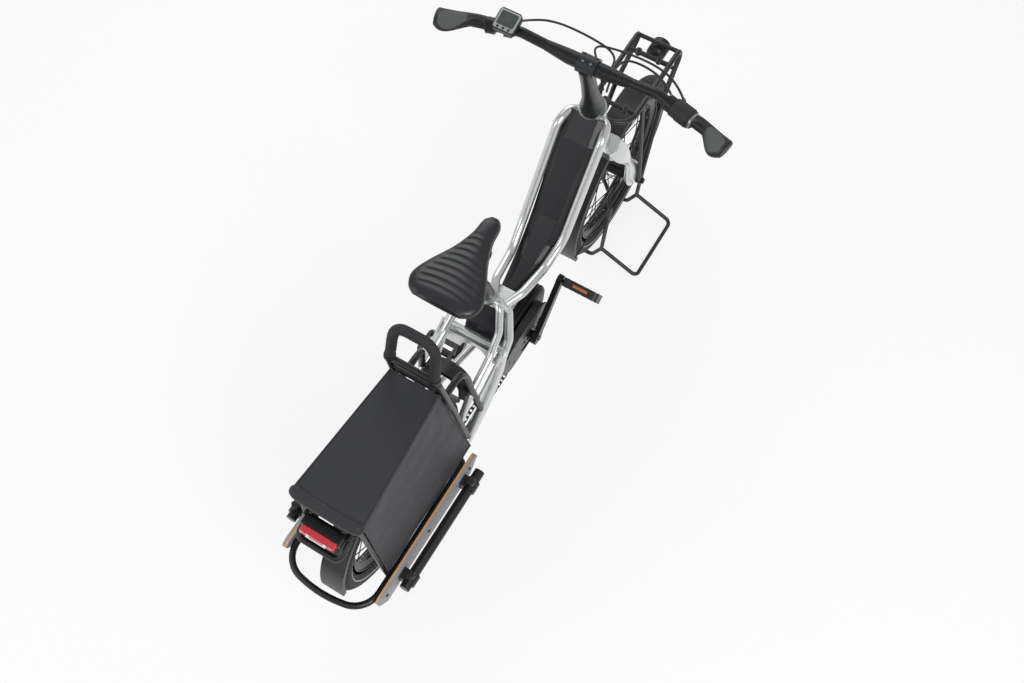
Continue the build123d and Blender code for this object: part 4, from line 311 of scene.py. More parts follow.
class Studio:
    """Pale floor, soft lamps and the camera at the photograph's angle."""

    eye = at(-728.0, -591.0, 2856.0)
    pitch_deg = 64.56
    yaw_deg = 36.05
    roll_deg = -4.07
    focal_px = 1147.9
    centre_px = (408.4, 379.3)

    def camera(self) -> None:
        """Makes the camera from the fitted angles, focal length and picture centre."""
        pitch, yaw, roll = (math.radians(a) for a in (self.pitch_deg, self.yaw_deg, self.roll_deg))
        look = Vector((math.cos(pitch) * math.cos(yaw), math.cos(pitch) * math.sin(yaw), -math.sin(pitch)))
        right = Vector((math.sin(yaw), -math.cos(yaw), 0.0))
        up = right.cross(look)
        side = right * math.cos(roll) + up * math.sin(roll)
        top = up * math.cos(roll) - right * math.sin(roll)
        data = bpy.data.cameras.new("studio_camera")
        data.sensor_fit = "HORIZONTAL"
        data.sensor_width = 36.0
        data.lens = self.focal_px / FRAME_WIDTH_PX * data.sensor_width
        data.shift_x = (FRAME_WIDTH_PX / 2 - self.centre_px[0]) / FRAME_WIDTH_PX
        data.shift_y = (self.centre_px[1] - FRAME_HEIGHT_PX / 2) / FRAME_WIDTH_PX
        data.clip_end = 50.0
        camera = bpy.data.objects.new("studio_camera", data)
        camera.matrix_world = Matrix.Translation(self.eye) @ Matrix((side, top, -look)).transposed().to_4x4()
        bpy.context.scene.collection.objects.link(camera)
        bpy.context.scene.camera = camera

    def lamp(self, name: str, place: tuple[float, float, float], size: float, power: float) -> None:
        """Adds one soft square lamp that faces the bike.

        Args:
            name: the lamp's name.
            place: where it hangs, in metres.
            size: its edge, in metres.
            power: its power, in watts.
        """
        data = bpy.data.lights.new(name, "AREA")
        data.size = size
        data.energy = power
        lamp = bpy.data.objects.new(name, data)
        lamp.location = place
        lamp.rotation_euler = (Vector((0.0, 0.0, 0.4)) - lamp.location).to_track_quat("-Z", "Y").to_euler()
        bpy.context.scene.collection.objects.link(lamp)

    def floor(self) -> None:
        """Makes the pale floor, which the camera sees almost white."""
        bpy.ops.mesh.primitive_plane_add(size=24.0)
        floor = bpy.context.object
        floor.name = "studio_floor"
        paper = bpy.data.materials.new("pale_studio_paper")
        paper.use_nodes = True
        tree = paper.node_tree
        tree.nodes.clear()
        diffuse = add_node(tree, "ShaderNodeBsdfDiffuse", {"Color": linear("#f4f4f6")})
        glow = add_node(tree, "ShaderNodeEmission", {"Color": linear("#fbfbfb"), "Strength": 1.0})
        path = add_node(tree, "ShaderNodeLightPath")
        mirrored = add_node(tree, "ShaderNodeMath", {"operation": "MAXIMUM"},
                            {0: path.outputs["Is Glossy Ray"], 1: path.outputs["Is Transmission Ray"]})
        straight = add_node(tree, "ShaderNodeMath", {"operation": "MAXIMUM"},
                            {0: path.outputs["Is Camera Ray"], 1: mirrored.outputs[0]})
        seen = add_node(tree, "ShaderNodeMath", {"operation": "MULTIPLY", 1: 0.84}, {0: straight.outputs[0]})
        mix = add_node(tree, "ShaderNodeMixShader", None,
                       {0: seen.outputs[0], 1: diffuse.outputs[0], 2: glow.outputs[0]})
        add_node(tree, "ShaderNodeOutputMaterial", None, {"Surface": mix.outputs[0]})
        floor.data.materials.append(paper)

    def build(self) -> None:
        """Makes the world, the lamps, the floor and the camera."""
        world = bpy.data.worlds.new("studio_world")
        world.use_nodes = True
        world.node_tree.nodes["Background"].inputs["Color"].default_value = linear("#f6f7f9")
        world.node_tree.nodes["Background"].inputs["Strength"].default_value = 0.6
        bpy.context.scene.world = world
        bpy.context.scene.view_settings.view_transform = "Standard"
        self.lamp("key_lamp", (-1.6, -2.2, 3.4), 1.8, 80.0)
        self.lamp("fill_lamp", (2.4, 1.8, 3.0), 2.6, 45.0)
        self.lamp("rear_lamp", (-2.6, 2.0, 2.2), 2.0, 25.0)
        self.floor()
        self.camera()
        LOG.info("studio: floor, three lamps and camera")


# Mesh making

Rings = Sequence[Sequence[Vector]]


def smooth_path(points: Sequence[Vector], steps: int, closed: bool = False) -> list[Vector]:
    """Points on a smooth curve through the given ones.

    Args:
        points: the places that the curve passes.
        steps: how many parts each stretch is cut into.
        closed: whether the curve joins its own start.

    Returns:
        The curve's points in order.
    """
    count = len(points)
    path = []
    for number in range(count if closed else count - 1):
        near = [points[(number + k) % count] if closed else points[min(max(number + k, 0), count - 1)]
                for k in (-1, 0, 1, 2)]
        for step in range(steps):
            t = step / steps
            path.append(0.5 * (2 * near[1] + (near[2] - near[0]) * t
                               + (2 * near[0] - 5 * near[1] + 4 * near[2] - near[3]) * t * t
                               + (3 * near[1] - near[0] - 3 * near[2] + near[3]) * t * t * t))
    return path if closed else path + [points[-1].copy()]


def tube_rings(path: Sequence[Vector], radius: Callable[[float, float], float], sides: int,
               closed: bool = False) -> list[list[Vector]]:
    """Rings round a path, with no twist from one to the next.

    Args:
        path: the tube's middle line.
        radius: radius in metres for a share of the path and an angle.
        sides: points in each ring.
        closed: whether the path joins its own start.

    Returns:
        One ring for each point of the path.
    """
    rings = []
    across = None
    for number, place in enumerate(path):
        before = path[number - 1] if number or closed else place
        after = path[(number + 1) % len(path)] if number < len(path) - 1 or closed else place
        along = (after - before).normalized()
        if across is None:
            across = along.orthogonal().normalized()
        across = (across - along * across.dot(along)).normalized()
        other = along.cross(across)
        share = number / max(len(path) - 1, 1)
        ring = []
        for side in range(sides):
            angle = math.tau * side / sides
            ring.append(place + (across * math.cos(angle) + other * math.sin(angle)) * radius(share, angle))
        rings.append(ring)
    return rings


def lathe_rings(centre: Vector, axis: Vector, rows: Sequence[tuple[float, float]],
                sides: int) -> list[list[Vector]]:
    """Rings of a turned form: each row is a radius and a height along the axis, in millimetres."""
    up = axis.normalized()
    across = up.orthogonal().normalized()
    other = up.cross(across)
    return [[centre + up * (height * MM)
             + (across * math.cos(math.tau * k / sides)
                + other * math.sin(math.tau * k / sides)) * (radius * MM)
             for k in range(sides)] for radius, height in rows]


class Shell:
    """A mesh that is gathered from several skins before it becomes one piece."""

    def __init__(self) -> None:
        """Starts an empty mesh."""
        self.bm = bmesh.new()

    def skin(self, rings: Rings, around: bool = True, closed: bool = False, caps: bool = True,
             slot: int = 0) -> "Shell":
        """Joins rings of points into a surface.

        Args:
            rings: rows of points of one length.
            around: whether each row joins its own start.
            closed: whether the last row joins the first.
            caps: whether open ends are filled.
            slot: the material slot of the new faces.

        Returns:
            The shell itself.
        """
        rows = [[self.bm.verts.new(p) for p in ring] for ring in rings]
        count = len(rows[0])
        for number in range(len(rows) if closed else len(rows) - 1):
            low, high = rows[number], rows[(number + 1) % len(rows)]
            for k in range(count if around else count - 1):
                face = self.bm.faces.new((low[k], low[(k + 1) % count], high[(k + 1) % count], high[k]))
                face.material_index = slot
        if caps and around and not closed:
            for ring in (rows[0][::-1], rows[-1]):
                self.bm.faces.new(ring).material_index = slot
        return self

    def slab(self, corners: Sequence[Vector], offset: Vector, slot: int = 0) -> "Shell":
        """Adds a flat plate with the given outline, as thick as the offset."""
        return self.skin([list(corners), [c + offset for c in corners]], slot=slot)

    def piece(self, name: str, body: str, *finishes: Finish, thickness: float = 0.0, bevel: float = 0.0,
              smooth_deg: float = 40.0, levels: int = 0) -> bpy.types.Object:
        """Makes the object, applies its modifiers and lets it ride on its body.

        Args:
            name: the piece's name.
            body: the CAD body that it rides on.
            finishes: its finishes, one for each material slot.
            thickness: wall in millimetres that an open surface gets inwards.
            bevel: width in millimetres of its rounded edges.
            smooth_deg: the angle up to which faces look like one surface.
            levels: subdivisions.

        Returns:
            The finished piece.
        """
        bmesh.ops.remove_doubles(self.bm, verts=self.bm.verts, dist=1e-6)
        bmesh.ops.recalc_face_normals(self.bm, faces=self.bm.faces)
        mesh = bpy.data.meshes.new(name)
        self.bm.to_mesh(mesh)
        self.bm.free()
        obj = bpy.data.objects.new(name, mesh)
        bpy.context.scene.collection.objects.link(obj)
        if thickness:
            wall = obj.modifiers.new("wall", "SOLIDIFY")
            wall.thickness = thickness * MM
            wall.offset = -1.0
        if bevel:
            edge = obj.modifiers.new("edge", "BEVEL")
            edge.width = bevel * MM
            edge.segments = 2
            edge.limit_method = "ANGLE"
            edge.angle_limit = math.radians(40)
        if levels:
            obj.modifiers.new("smooth", "SUBSURF").levels = levels
        obj = applied(obj)
        for finish in finishes:
            obj.data.materials.append(finish.material())
        obj.data.shade_smooth()
        obj.data.set_sharp_from_angle(angle=math.radians(smooth_deg))
        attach(obj, body)
        return obj


def applied(obj: bpy.types.Object) -> bpy.types.Object:
    """The object with its modifiers turned into plain mesh."""
    if not obj.modifiers:
        return obj
    shaped = bpy.data.meshes.new_from_object(obj.evaluated_get(bpy.context.evaluated_depsgraph_get()))
    obj.modifiers.clear()
    old, obj.data = obj.data, shaped
    name = old.name
    bpy.data.meshes.remove(old)
    shaped.name = name
    return obj


@dataclass(frozen=True)
class Spot:
    """Where one copy of a small part goes.

    Attributes:
        place: its middle, in metres.
        turn: its rotation.
        size: its scale along its own axes.
    """
    place: Vector
    turn: Euler
    size: tuple[float, float, float] = (1.0, 1.0, 1.0)


def facing(place: Vector, outward: Vector, size_mm: float = 1.0) -> Spot:
    """A spot whose own Z axis looks outward, with a size in millimetres."""
    turn = outward.to_track_quat("Z", "Y").to_euler()
    return Spot(place, turn, (size_mm, size_mm, size_mm))


class Copies:
    """Geometry Nodes group that puts copies of a small mesh on points."""

    def __init__(self) -> None:
        """Makes the node group once, for every set of copies."""
        tree = bpy.data.node_groups.new("copies_on_points", "GeometryNodeTree")
        face = tree.interface
        face.new_socket("Points", in_out="INPUT", socket_type="NodeSocketGeometry")
        self.part_input = face.new_socket("Small part", in_out="INPUT",
                                          socket_type="NodeSocketObject").identifier
        self.finish_input = face.new_socket("Finish", in_out="INPUT",
                                            socket_type="NodeSocketMaterial").identifier
        face.new_socket("Copies", in_out="OUTPUT", socket_type="NodeSocketGeometry")
        given = add_node(tree, "NodeGroupInput")
        turn = add_node(tree, "GeometryNodeInputNamedAttribute",
                        {"data_type": "FLOAT_VECTOR", "Name": "turn"})
        size = add_node(tree, "GeometryNodeInputNamedAttribute",
                        {"data_type": "FLOAT_VECTOR", "Name": "size"})
        rotation = add_node(tree, "FunctionNodeEulerToRotation", None, {0: turn.outputs["Attribute"]})
        part = add_node(tree, "GeometryNodeObjectInfo", None, {"Object": given.outputs["Small part"]})
        copies = add_node(tree, "GeometryNodeInstanceOnPoints", None, {
            "Points": given.outputs["Points"], "Instance": part.outputs["Geometry"],
            "Rotation": rotation.outputs[0], "Scale": size.outputs["Attribute"]})
        real = add_node(tree, "GeometryNodeRealizeInstances", None, {"Geometry": copies.outputs["Instances"]})
        dressed = add_node(tree, "GeometryNodeSetMaterial", None,
                           {"Geometry": real.outputs["Geometry"], "Material": given.outputs["Finish"]})
        add_node(tree, "NodeGroupOutput", None, {0: dressed.outputs["Geometry"]})
        self.tree = tree

    def scatter(self, name: str, body: str, shell: Shell, spots: Iterable[Spot],
                finish: Finish) -> bpy.types.Object:
        """Makes one plain mesh of all the copies on one body.

        Args:
            name: the new piece's name.
            body: the CAD body that it rides on.
            shell: the small part, built round the origin in metres or in units that the spots scale.
            spots: where the copies go.
            finish: the copies' finish.

        Returns:
            The finished piece.
        """
        bmesh.ops.recalc_face_normals(shell.bm, faces=shell.bm.faces)
        part_mesh = bpy.data.meshes.new(name + "_part")
        shell.bm.to_mesh(part_mesh)
        shell.bm.free()
        part_mesh.shade_smooth()
        part_mesh.set_sharp_from_angle(angle=math.radians(35))
        part = bpy.data.objects.new(name + "_part", part_mesh)
        spots = list(spots)
        points = bpy.data.meshes.new(name)
        points.from_pydata([s.place for s in spots], [], [])
        for label, values in (("turn", [tuple(s.turn) for s in spots]), ("size", [s.size for s in spots])):
            layer = points.attributes.new(label, "FLOAT_VECTOR", "POINT")
            layer.data.foreach_set("vector", [c for value in values for c in value])
        obj = bpy.data.objects.new(name, points)
        for made in (part, obj):
            bpy.context.scene.collection.objects.link(made)
        modifier = obj.modifiers.new("copies", "NODES")
        modifier.node_group = self.tree
        modifier[self.part_input] = part
        modifier[self.finish_input] = finish.material()
        obj = applied(obj)
        bpy.data.objects.remove(part)
        bpy.data.meshes.remove(part_mesh)
        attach(obj, body)
        return obj


def socket_bolt() -> Shell:
    """Socket head one millimetre in radius, which its spots scale, with its underside at the origin."""
    sides = 18
    hexagon = [math.cos(math.pi / 6) / math.cos((math.tau * k / sides) % (math.pi / 3) - math.pi / 6)
               for k in range(sides)]
    rings = []
    for radius, height, six in ((1.0, 0.0, 0), (1.0, 0.5, 0), (0.88, 0.62, 0), (0.56, 0.62, 1),
                                (0.5, 0.2, 1)):
        rings.append([Vector((math.cos(math.tau * k / sides), math.sin(math.tau * k / sides), 0)) * radius
                      * (hexagon[k] if six else 1.0) + Vector((0, 0, height)) for k in range(sides)])
    return Shell().skin([[p * MM for p in ring] for ring in rings])


def knurled_knob() -> Shell:
    """Fluted clamp knob one millimetre in radius, which its spots scale, with its underside at the origin."""
    sides = 30
    rings = []
    for radius, height in ((0.86, 0.0), (1.0, 0.12), (1.0, 0.75), (0.9, 0.95), (0.4, 1.0)):
        flute = 0.1 if radius > 0.85 else 0.0
        rings.append([Vector((math.cos(math.tau * k / sides), math.sin(math.tau * k / sides), 0))
                      * (radius - flute * (k % 5 in (0, 1))) + Vector((0, 0, height)) for k in range(sides)])
    return Shell().skin([[p * MM for p in ring] for ring in rings])


# Sub-assemblies

@dataclass(frozen=True)
class Wheels:
    """Tyres with tread and sidewall stripe, rim beads, valves, spoke nipples and front axle bolts.

    Attributes:
        tyre_mm: outer radius of the tyre.
        width_mm: width of the tyre.
        rim_mm: outer radius of the rim.
        tread_count: number of tread blocks round each shoulder.
        groove_mm: depth of the tread.
    """
    tyre_mm: float = 263.0
    width_mm: float = 56.0
    rim_mm: float = 207.0
    tread_count: int = 72
    groove_mm: float = 1.9

    def depth(self, around: float, cross: float) -> float:
        """Depth of the tread at a share of a block's pitch and a share of the crown from -1 to 1."""
        edge = abs(cross)
        if edge > 0.86:
            return 0.0
        if 0.24 < edge < 0.3 or 0.56 < edge < 0.62:
            return self.groove_mm
        lean = (around + edge * 0.8) % 1.0
        if edge >= 0.62:
            return self.groove_mm if lean < 0.3 else 0.0
        if edge >= 0.3:
            return self.groove_mm * 0.8 if lean < 0.2 else 0.0
        return self.groove_mm * 0.6 if (around + edge) % 1.0 < 0.14 else 0.0

    def tyre(self, name: str, hub: Vector, node: str, body: str) -> None:
        """Makes one tyre as large as the CAD tyre, with its tread cut inwards."""
        half = self.width_mm / 2
        crown = self.tyre_mm - half
        angles = [math.radians(a) for a in range(-140, 141, 7)]
        steps = self.tread_count * 6
        rings = []
        for step in range(steps):
            around = math.tau * step / steps
            out = Vector((math.cos(around), 0.0, math.sin(around)))
            ring = []
            for angle in angles:
                cross = angle / math.radians(84)
                cut = self.depth(step % 6 / 6, cross) if abs(cross) < 1 else 0.0
                bulge = half - cut
                if abs(math.degrees(angle)) in (105.0, 119.0):
                    bulge -= 0.9
                ring.append(hub + out * ((crown + bulge * math.cos(angle)) * MM)
                            + Vector((0.0, bulge * math.sin(angle) * MM, 0.0)))
            rings.append(ring)
        shell = Shell().skin(rings, around=False, closed=True, caps=False)
        for face in shell.bm.faces:
            middle = face.calc_center_median() - hub
            radius = math.hypot(middle.x, middle.z) / MM
            if abs(middle.y) > half * 0.86 * MM and 224.0 < radius < 229.0:
                face.material_index = 1
        tyre = shell.piece(name, body, TYRE_RUBBER, REFLEX_STRIPE, smooth_deg=28)
        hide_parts(node)

    def build(self, copies: Copies) -> None:
        """Makes both tyres with their small hardware."""
        for word, hub in (("front", FRONT_AXLE), ("rear", REAR_AXLE)):
            self.tyre(f"{word}_tyre_with_tread", hub, f"{word}_tyre", f"{word}_wheel")
            for side in (-1, 1):
                bead = tube_rings([hub + Vector((math.cos(a), 0, math.sin(a))) * (self.rim_mm - 2.0) * MM
                                   + Vector((0, side * 17.6 * MM, 0)) for a in
                                   [math.tau * k / 96 for k in range(96)]], lambda s, a: 1.5 * MM, 8, True)
                Shell().skin(bead, closed=True).piece(f"{word}_rim_bead_{'right' if side < 0 else 'left'}",
                                                      f"{word}_wheel", ALLOY_BLACK)
            foot = hub + Vector((0.0, 0.0, -188.0 * MM))
            valve = lathe_rings(foot, Vector((0, 0, 1)),
                                ((3.2, 0), (3.2, 3), (2.6, 3.4), (2.6, 24), (3.6, 24.4),
                                 (3.6, 34), (2.4, 36)), 14)
            Shell().skin(valve).piece(f"{word}_valve", f"{word}_wheel", ALLOY_BLACK)
            nipples = [facing(hub + Vector((math.cos(a), 0, math.sin(a))) * 184.0 * MM
                              + Vector((0, 3.0 * MM * (1 if k % 2 else -1), 0)),
                              Vector((math.cos(a), 0, math.sin(a))), 2.1)
                       for k, a in enumerate(math.tau * (n + 0.5) / 36 for n in range(36))]
            copies.scatter(f"{word}_spoke_nipples", f"{word}_wheel", socket_bolt(), nipples, STEEL)
        nuts = [facing(FRONT_AXLE + Vector((0, side * 86.0 * MM, 0)), Vector((0, side, 0)), 8.0)
                for side in (-1, 1)]
        copies.scatter("front_axle_bolts", "steering", socket_bolt(), nuts, ALLOY_BLACK)
        LOG.info("wheels: two tyres with tread, beads, valves and nipples")


@dataclass(frozen=True)
class Drive:
    """Roller chain, chainring and sprocket teeth, and the pedals' pins and reflectors.

    Attributes:
        pitch_mm: distance from one roller to the next.
        ring_mm: radius of the chain's line on the chainring.
        sprocket_mm: the same on the rear sprocket.
        side_mm: distance of the chain from the middle of the bike.
    """
    pitch_mm: float = 12.7
    ring_mm: float = 65.0
    sprocket_mm: float = 47.0
    side_mm: float = 58.0

    def line(self) -> list[tuple[float, float, float]]:
        """Places along the chain, each as X, Z and the direction's angle."""
        big, small = Vector((CRANK_X, CRANK_Z)), Vector((0.0, AXLE_Z))
        gap = small - big
        base = math.atan2(gap.y, gap.x)
        lean = math.acos((self.ring_mm - self.sprocket_mm) / gap.length)
        turns = []
        for sign in (-1, 1):
            out = Vector((math.cos(base + sign * lean), math.sin(base + sign * lean)))
            turns.append((big + out * self.ring_mm, small + out * self.sprocket_mm, base + sign * lean))
        path = []
        (up_big, up_small, up_angle), (low_big, low_small, low_angle) = turns
        for k in range(60):
            path.append(up_big.lerp(up_small, k / 60))
        span = (low_angle - up_angle) % math.tau
        for k in range(40):
            angle = up_angle + span * k / 40
            path.append(small + Vector((math.cos(angle), math.sin(angle))) * self.sprocket_mm)
        for k in range(60):
            path.append(low_small.lerp(low_big, k / 60))
        for k in range(60):
            angle = low_angle + (math.tau - span) * k / 60
            path.append(big + Vector((math.cos(angle), math.sin(angle))) * self.ring_mm)
        lengths = [(path[(n + 1) % len(path)] - path[n]).length for n in range(len(path))]
        count = round(sum(lengths) / self.pitch_mm)
        step, places, walked, number = sum(lengths) / count, [], 0.0, 0
        for link in range(count):
            while walked + lengths[number] < link * step:
                walked += lengths[number]
                number += 1
            share = (link * step - walked) / lengths[number]
            here, there = path[number], path[(number + 1) % len(path)]
            spot = here.lerp(there, share)
            places.append((spot.x, spot.y, math.atan2(there.y - here.y, there.x - here.x)))
        return places

    def link(self) -> Shell:
        """Two side plates and a roller, with the chain running along X."""
        shell = Shell()
        half = self.pitch_mm / 2
        outline = [(half * sx + 3.6 * math.cos(a), 3.6 * math.sin(a))
                   for sx, turns in ((1, (-90, -45, 0, 45, 90)), (-1, (90, 135, 180, 225, 270)))
                   for a in map(math.radians, turns)]
        outline = [(x, z * (0.72 if abs(x) < 5 else 1.0)) for x, z in outline]
        for side in (-1, 1):
            near = side * 3.4 * MM
            shell.slab([Vector((x * MM, near, z * MM)) for x, z in outline], Vector((0, side * 1.1 * MM, 0)))
        return shell.skin(lathe_rings(Vector((half * MM, -3.3 * MM, 0)), Vector((0, 1, 0)),
                                      ((3.6, 0), (3.6, 6.6)), 10))

    def build(self, copies: Copies) -> None:
        """Makes the chain, the teeth and the pedals' small parts."""
        spots = []
        for number, (x, z, angle) in enumerate(self.line()):
            wide = 1.0 if number % 2 else 0.72
            spots.append(Spot(at(x, -self.side_mm, z), Euler((0.0, -angle, 0.0)), (1.0, wide, 1.0)))
        chain = copies.scatter("roller_chain", "frame", self.link(), spots, CHAIN_STEEL)
        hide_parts("belt")
        tooth = [Vector((x * MM, -1.1 * MM, z * MM))
                 for x, z in ((-3.4, -2.0), (3.4, -2.0), (1.0, 4.2), (-1.0, 4.2))]
        for name, body, x, z, radius, count in (
                ("chainring_teeth", "crankset", CRANK_X, CRANK_Z, 62.0, 32),
                ("sprocket_teeth", "rear_wheel", 0.0, AXLE_Z, 44.0, 22)):
            teeth = []
            for k in range(count):
                angle = math.tau * (k + 0.5) / count
                place = at(x + radius * math.cos(angle), -self.side_mm, z + radius * math.sin(angle))
                teeth.append(Spot(place, Euler((0.0, math.pi / 2 - angle, 0.0))))
            copies.scatter(name, body, Shell().slab(tooth, Vector((0, 2.2 * MM, 0))), teeth, CHAIN_STEEL)
        for side, body, turn in ((1, "pedal_left", 8.0), (-1, "pedal_right", 61.0)):
            middle = pedal_middle(body)
            tilt = Matrix.Rotation(math.radians(turn), 4, "Y")
            pins, lenses = [], Shell()
            for fore in (-1, 1):
                for k in range(5):
                    for up in (-1, 1):
                        place = Vector((fore * 35.5 * MM, (k - 2) * 17.0 * MM, up * 10.6 * MM))
                        pins.append(facing(middle + tilt @ place, tilt @ Vector((0, 0, up)), 1.8))
                lens = [Vector((fore * 39.2 * MM, y * MM, z * MM))
                        for y, z in ((-19, -3.4), (19, -3.4), (19, 3.4), (-19, 3.4))]
                lenses.slab([middle + tilt @ p for p in lens], tilt @ Vector((fore * 1.4 * MM, 0, 0)))
            copies.scatter(f"{body}_pins", body, socket_bolt(), pins, STEEL)
            lenses.piece(f"{body}_reflectors", body, LENS_AMBER, bevel=0.5)
        caps = [facing(at(CRANK_X, side * 91.5, CRANK_Z), Vector((0, side, 0)), 7.5) for side in (-1, 1)]
        copies.scatter("crank_bolts", "crankset", socket_bolt(), caps, STEEL)
        ring = [facing(at(CRANK_X + 38.0 * math.cos(a), -61.0, CRANK_Z + 38.0 * math.sin(a)),
                       Vector((0, -1, 0)), 4.0)
                for a in (math.tau * (k + 0.5) / 5 for k in range(5))]
        copies.scatter("chainring_bolts", "crankset", socket_bolt(), ring, STEEL)
        LOG.info("drive: chain, teeth and pedal hardware")


def pedal_middle(body: str) -> Vector:
    """Middle of the pedal's cage, from its CAD node's box."""
    low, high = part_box(body)
    side = 1 if body.endswith("left") else -1
    outer = high[1] if side > 0 else -low[1]
    return Vector(((low[0] + high[0]) / 2, side * (outer - 46.0 * MM), (low[2] + high[2]) / 2))


@dataclass(frozen=True)
class Hoses:
    """Brake hoses and gear cable that bow ahead of the bar and run down in front of the stem.

    Attributes:
        radius_mm: radius of a hose.
        routes: the places that steer each hose, from the lever or shifter down.
    """
    radius_mm: float = 2.5

    routes = (((799.0, 205.0, 986.0), (832.0, 172.0, 984.0), (855.0, 118.0, 991.0), (866.0, 36.0, 978.0),
               (866.0, -30.0, 962.0), (886.0, -16.0, 880.0), (892.0, 5.0, 806.0)),
              ((806.0, -212.0, 984.0), (838.0, -184.0, 984.0), (858.0, -128.0, 990.0), (868.0, -40.0, 976.0),
               (868.0, 30.0, 958.0), (886.0, 12.0, 880.0), (892.0, -5.0, 806.0)),
              ((800.0, -190.0, 984.0), (828.0, -166.0, 980.0), (848.0, -120.0, 984.0), (862.0, -60.0, 968.0),
               (872.0, -36.0, 930.0), (886.0, -20.0, 870.0), (891.0, -14.0, 806.0)))

    def build(self) -> None:
        """Makes the three hoses as smooth bevelled curves, with a ferrule at each upper end."""
        hoses = []
        ferrules = Shell()
        for number, route in enumerate(self.routes):
            data = bpy.data.curves.new(f"control_hose_{number + 1}", "CURVE")
            data.dimensions = "3D"
            data.bevel_depth = self.radius_mm * MM
            data.bevel_resolution = 4
            data.resolution_u = 14
            data.use_fill_caps = True
            spline = data.splines.new("NURBS")
            spline.points.add(len(route) - 1)
            for point, place in zip(spline.points, route):
                point.co = (*at(*place), 1.0)
            spline.order_u = 3
            spline.use_endpoint_u = True
            hose = bpy.data.objects.new(data.name, data)
            bpy.context.scene.collection.objects.link(hose)
            data.materials.append(HOSE_BLACK.material())
            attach(hose, "steering")
            hoses.append(hose)
            start, after = at(*route[0]), at(*route[1])
            ferrules.skin(lathe_rings(start, after - start, ((3.9, -4.0), (3.9, 9.0), (3.2, 11.0)), 18))
        ferrules.piece("hose_ferrules", "steering", ALLOY_BLACK)
        for hose in hoses:
            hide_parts("control_cables")
        LOG.info("hoses: three control hoses")


@dataclass(frozen=True)
class MotorCasing:
    """Cast motor casing with rounded shoulders, cooling ribs and a side cover, in the CAD block's place."""

    def build(self, copies: Copies) -> None:
        """Makes the casing from rounded sections across the bike."""
        low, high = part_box("motor")
        middle = Vector(((low[0] + high[0]) / 2, 0.0, (low[2] + high[2]) / 2))
        half_x, half_z = (high[0] - low[0]) / 2, (high[2] - low[2]) / 2
        rings = []
        for step in range(33):
            y = step / 32 * 2 - 1
            end = max(0.0, (abs(y) - 0.72) / 0.28)
            shrink = 0.012 * (1 - math.sqrt(max(0.0, 1 - end * end)))
            rib = 0.0012 if step % 4 == 2 and abs(y) < 0.7 else 0.0
            ring = []
            for k in range(64):
                angle = math.tau * k / 64
                wide = math.copysign(abs(math.cos(angle)) ** 0.62, math.cos(angle))
                tall = math.copysign(abs(math.sin(angle)) ** 0.62, math.sin(angle))
                ring.append(middle + Vector((wide * (half_x - shrink - rib), y * high[1],
                                             tall * (half_z - shrink - rib))))
            rings.append(ring)
        casing = Shell().skin(rings).piece("motor_casing", "frame", MOTOR_CAST, smooth_deg=50)
        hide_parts("motor")
        cover = lathe_rings(at(CRANK_X, 45.0, CRANK_Z), Vector((0, 1, 0)),
                            ((50.0, 0.0), (50.0, 1.2), (48.0, 2.0), (38.0, 2.4), (37.0, 1.4),
                             (20.0, 1.4)), 56)
        Shell().skin(cover).piece("motor_side_cover", "frame", NYLON)
        screws = [facing(at(CRANK_X + 43.5 * math.cos(a), 47.0, CRANK_Z + 43.5 * math.sin(a)),
                         Vector((0, 1, 0)), 2.4)
                  for a in (math.tau * k / 6 for k in range(6))]
        copies.scatter("motor_cover_screws", "frame", socket_bolt(), screws, STEEL)
        LOG.info("motor: casing and side cover")


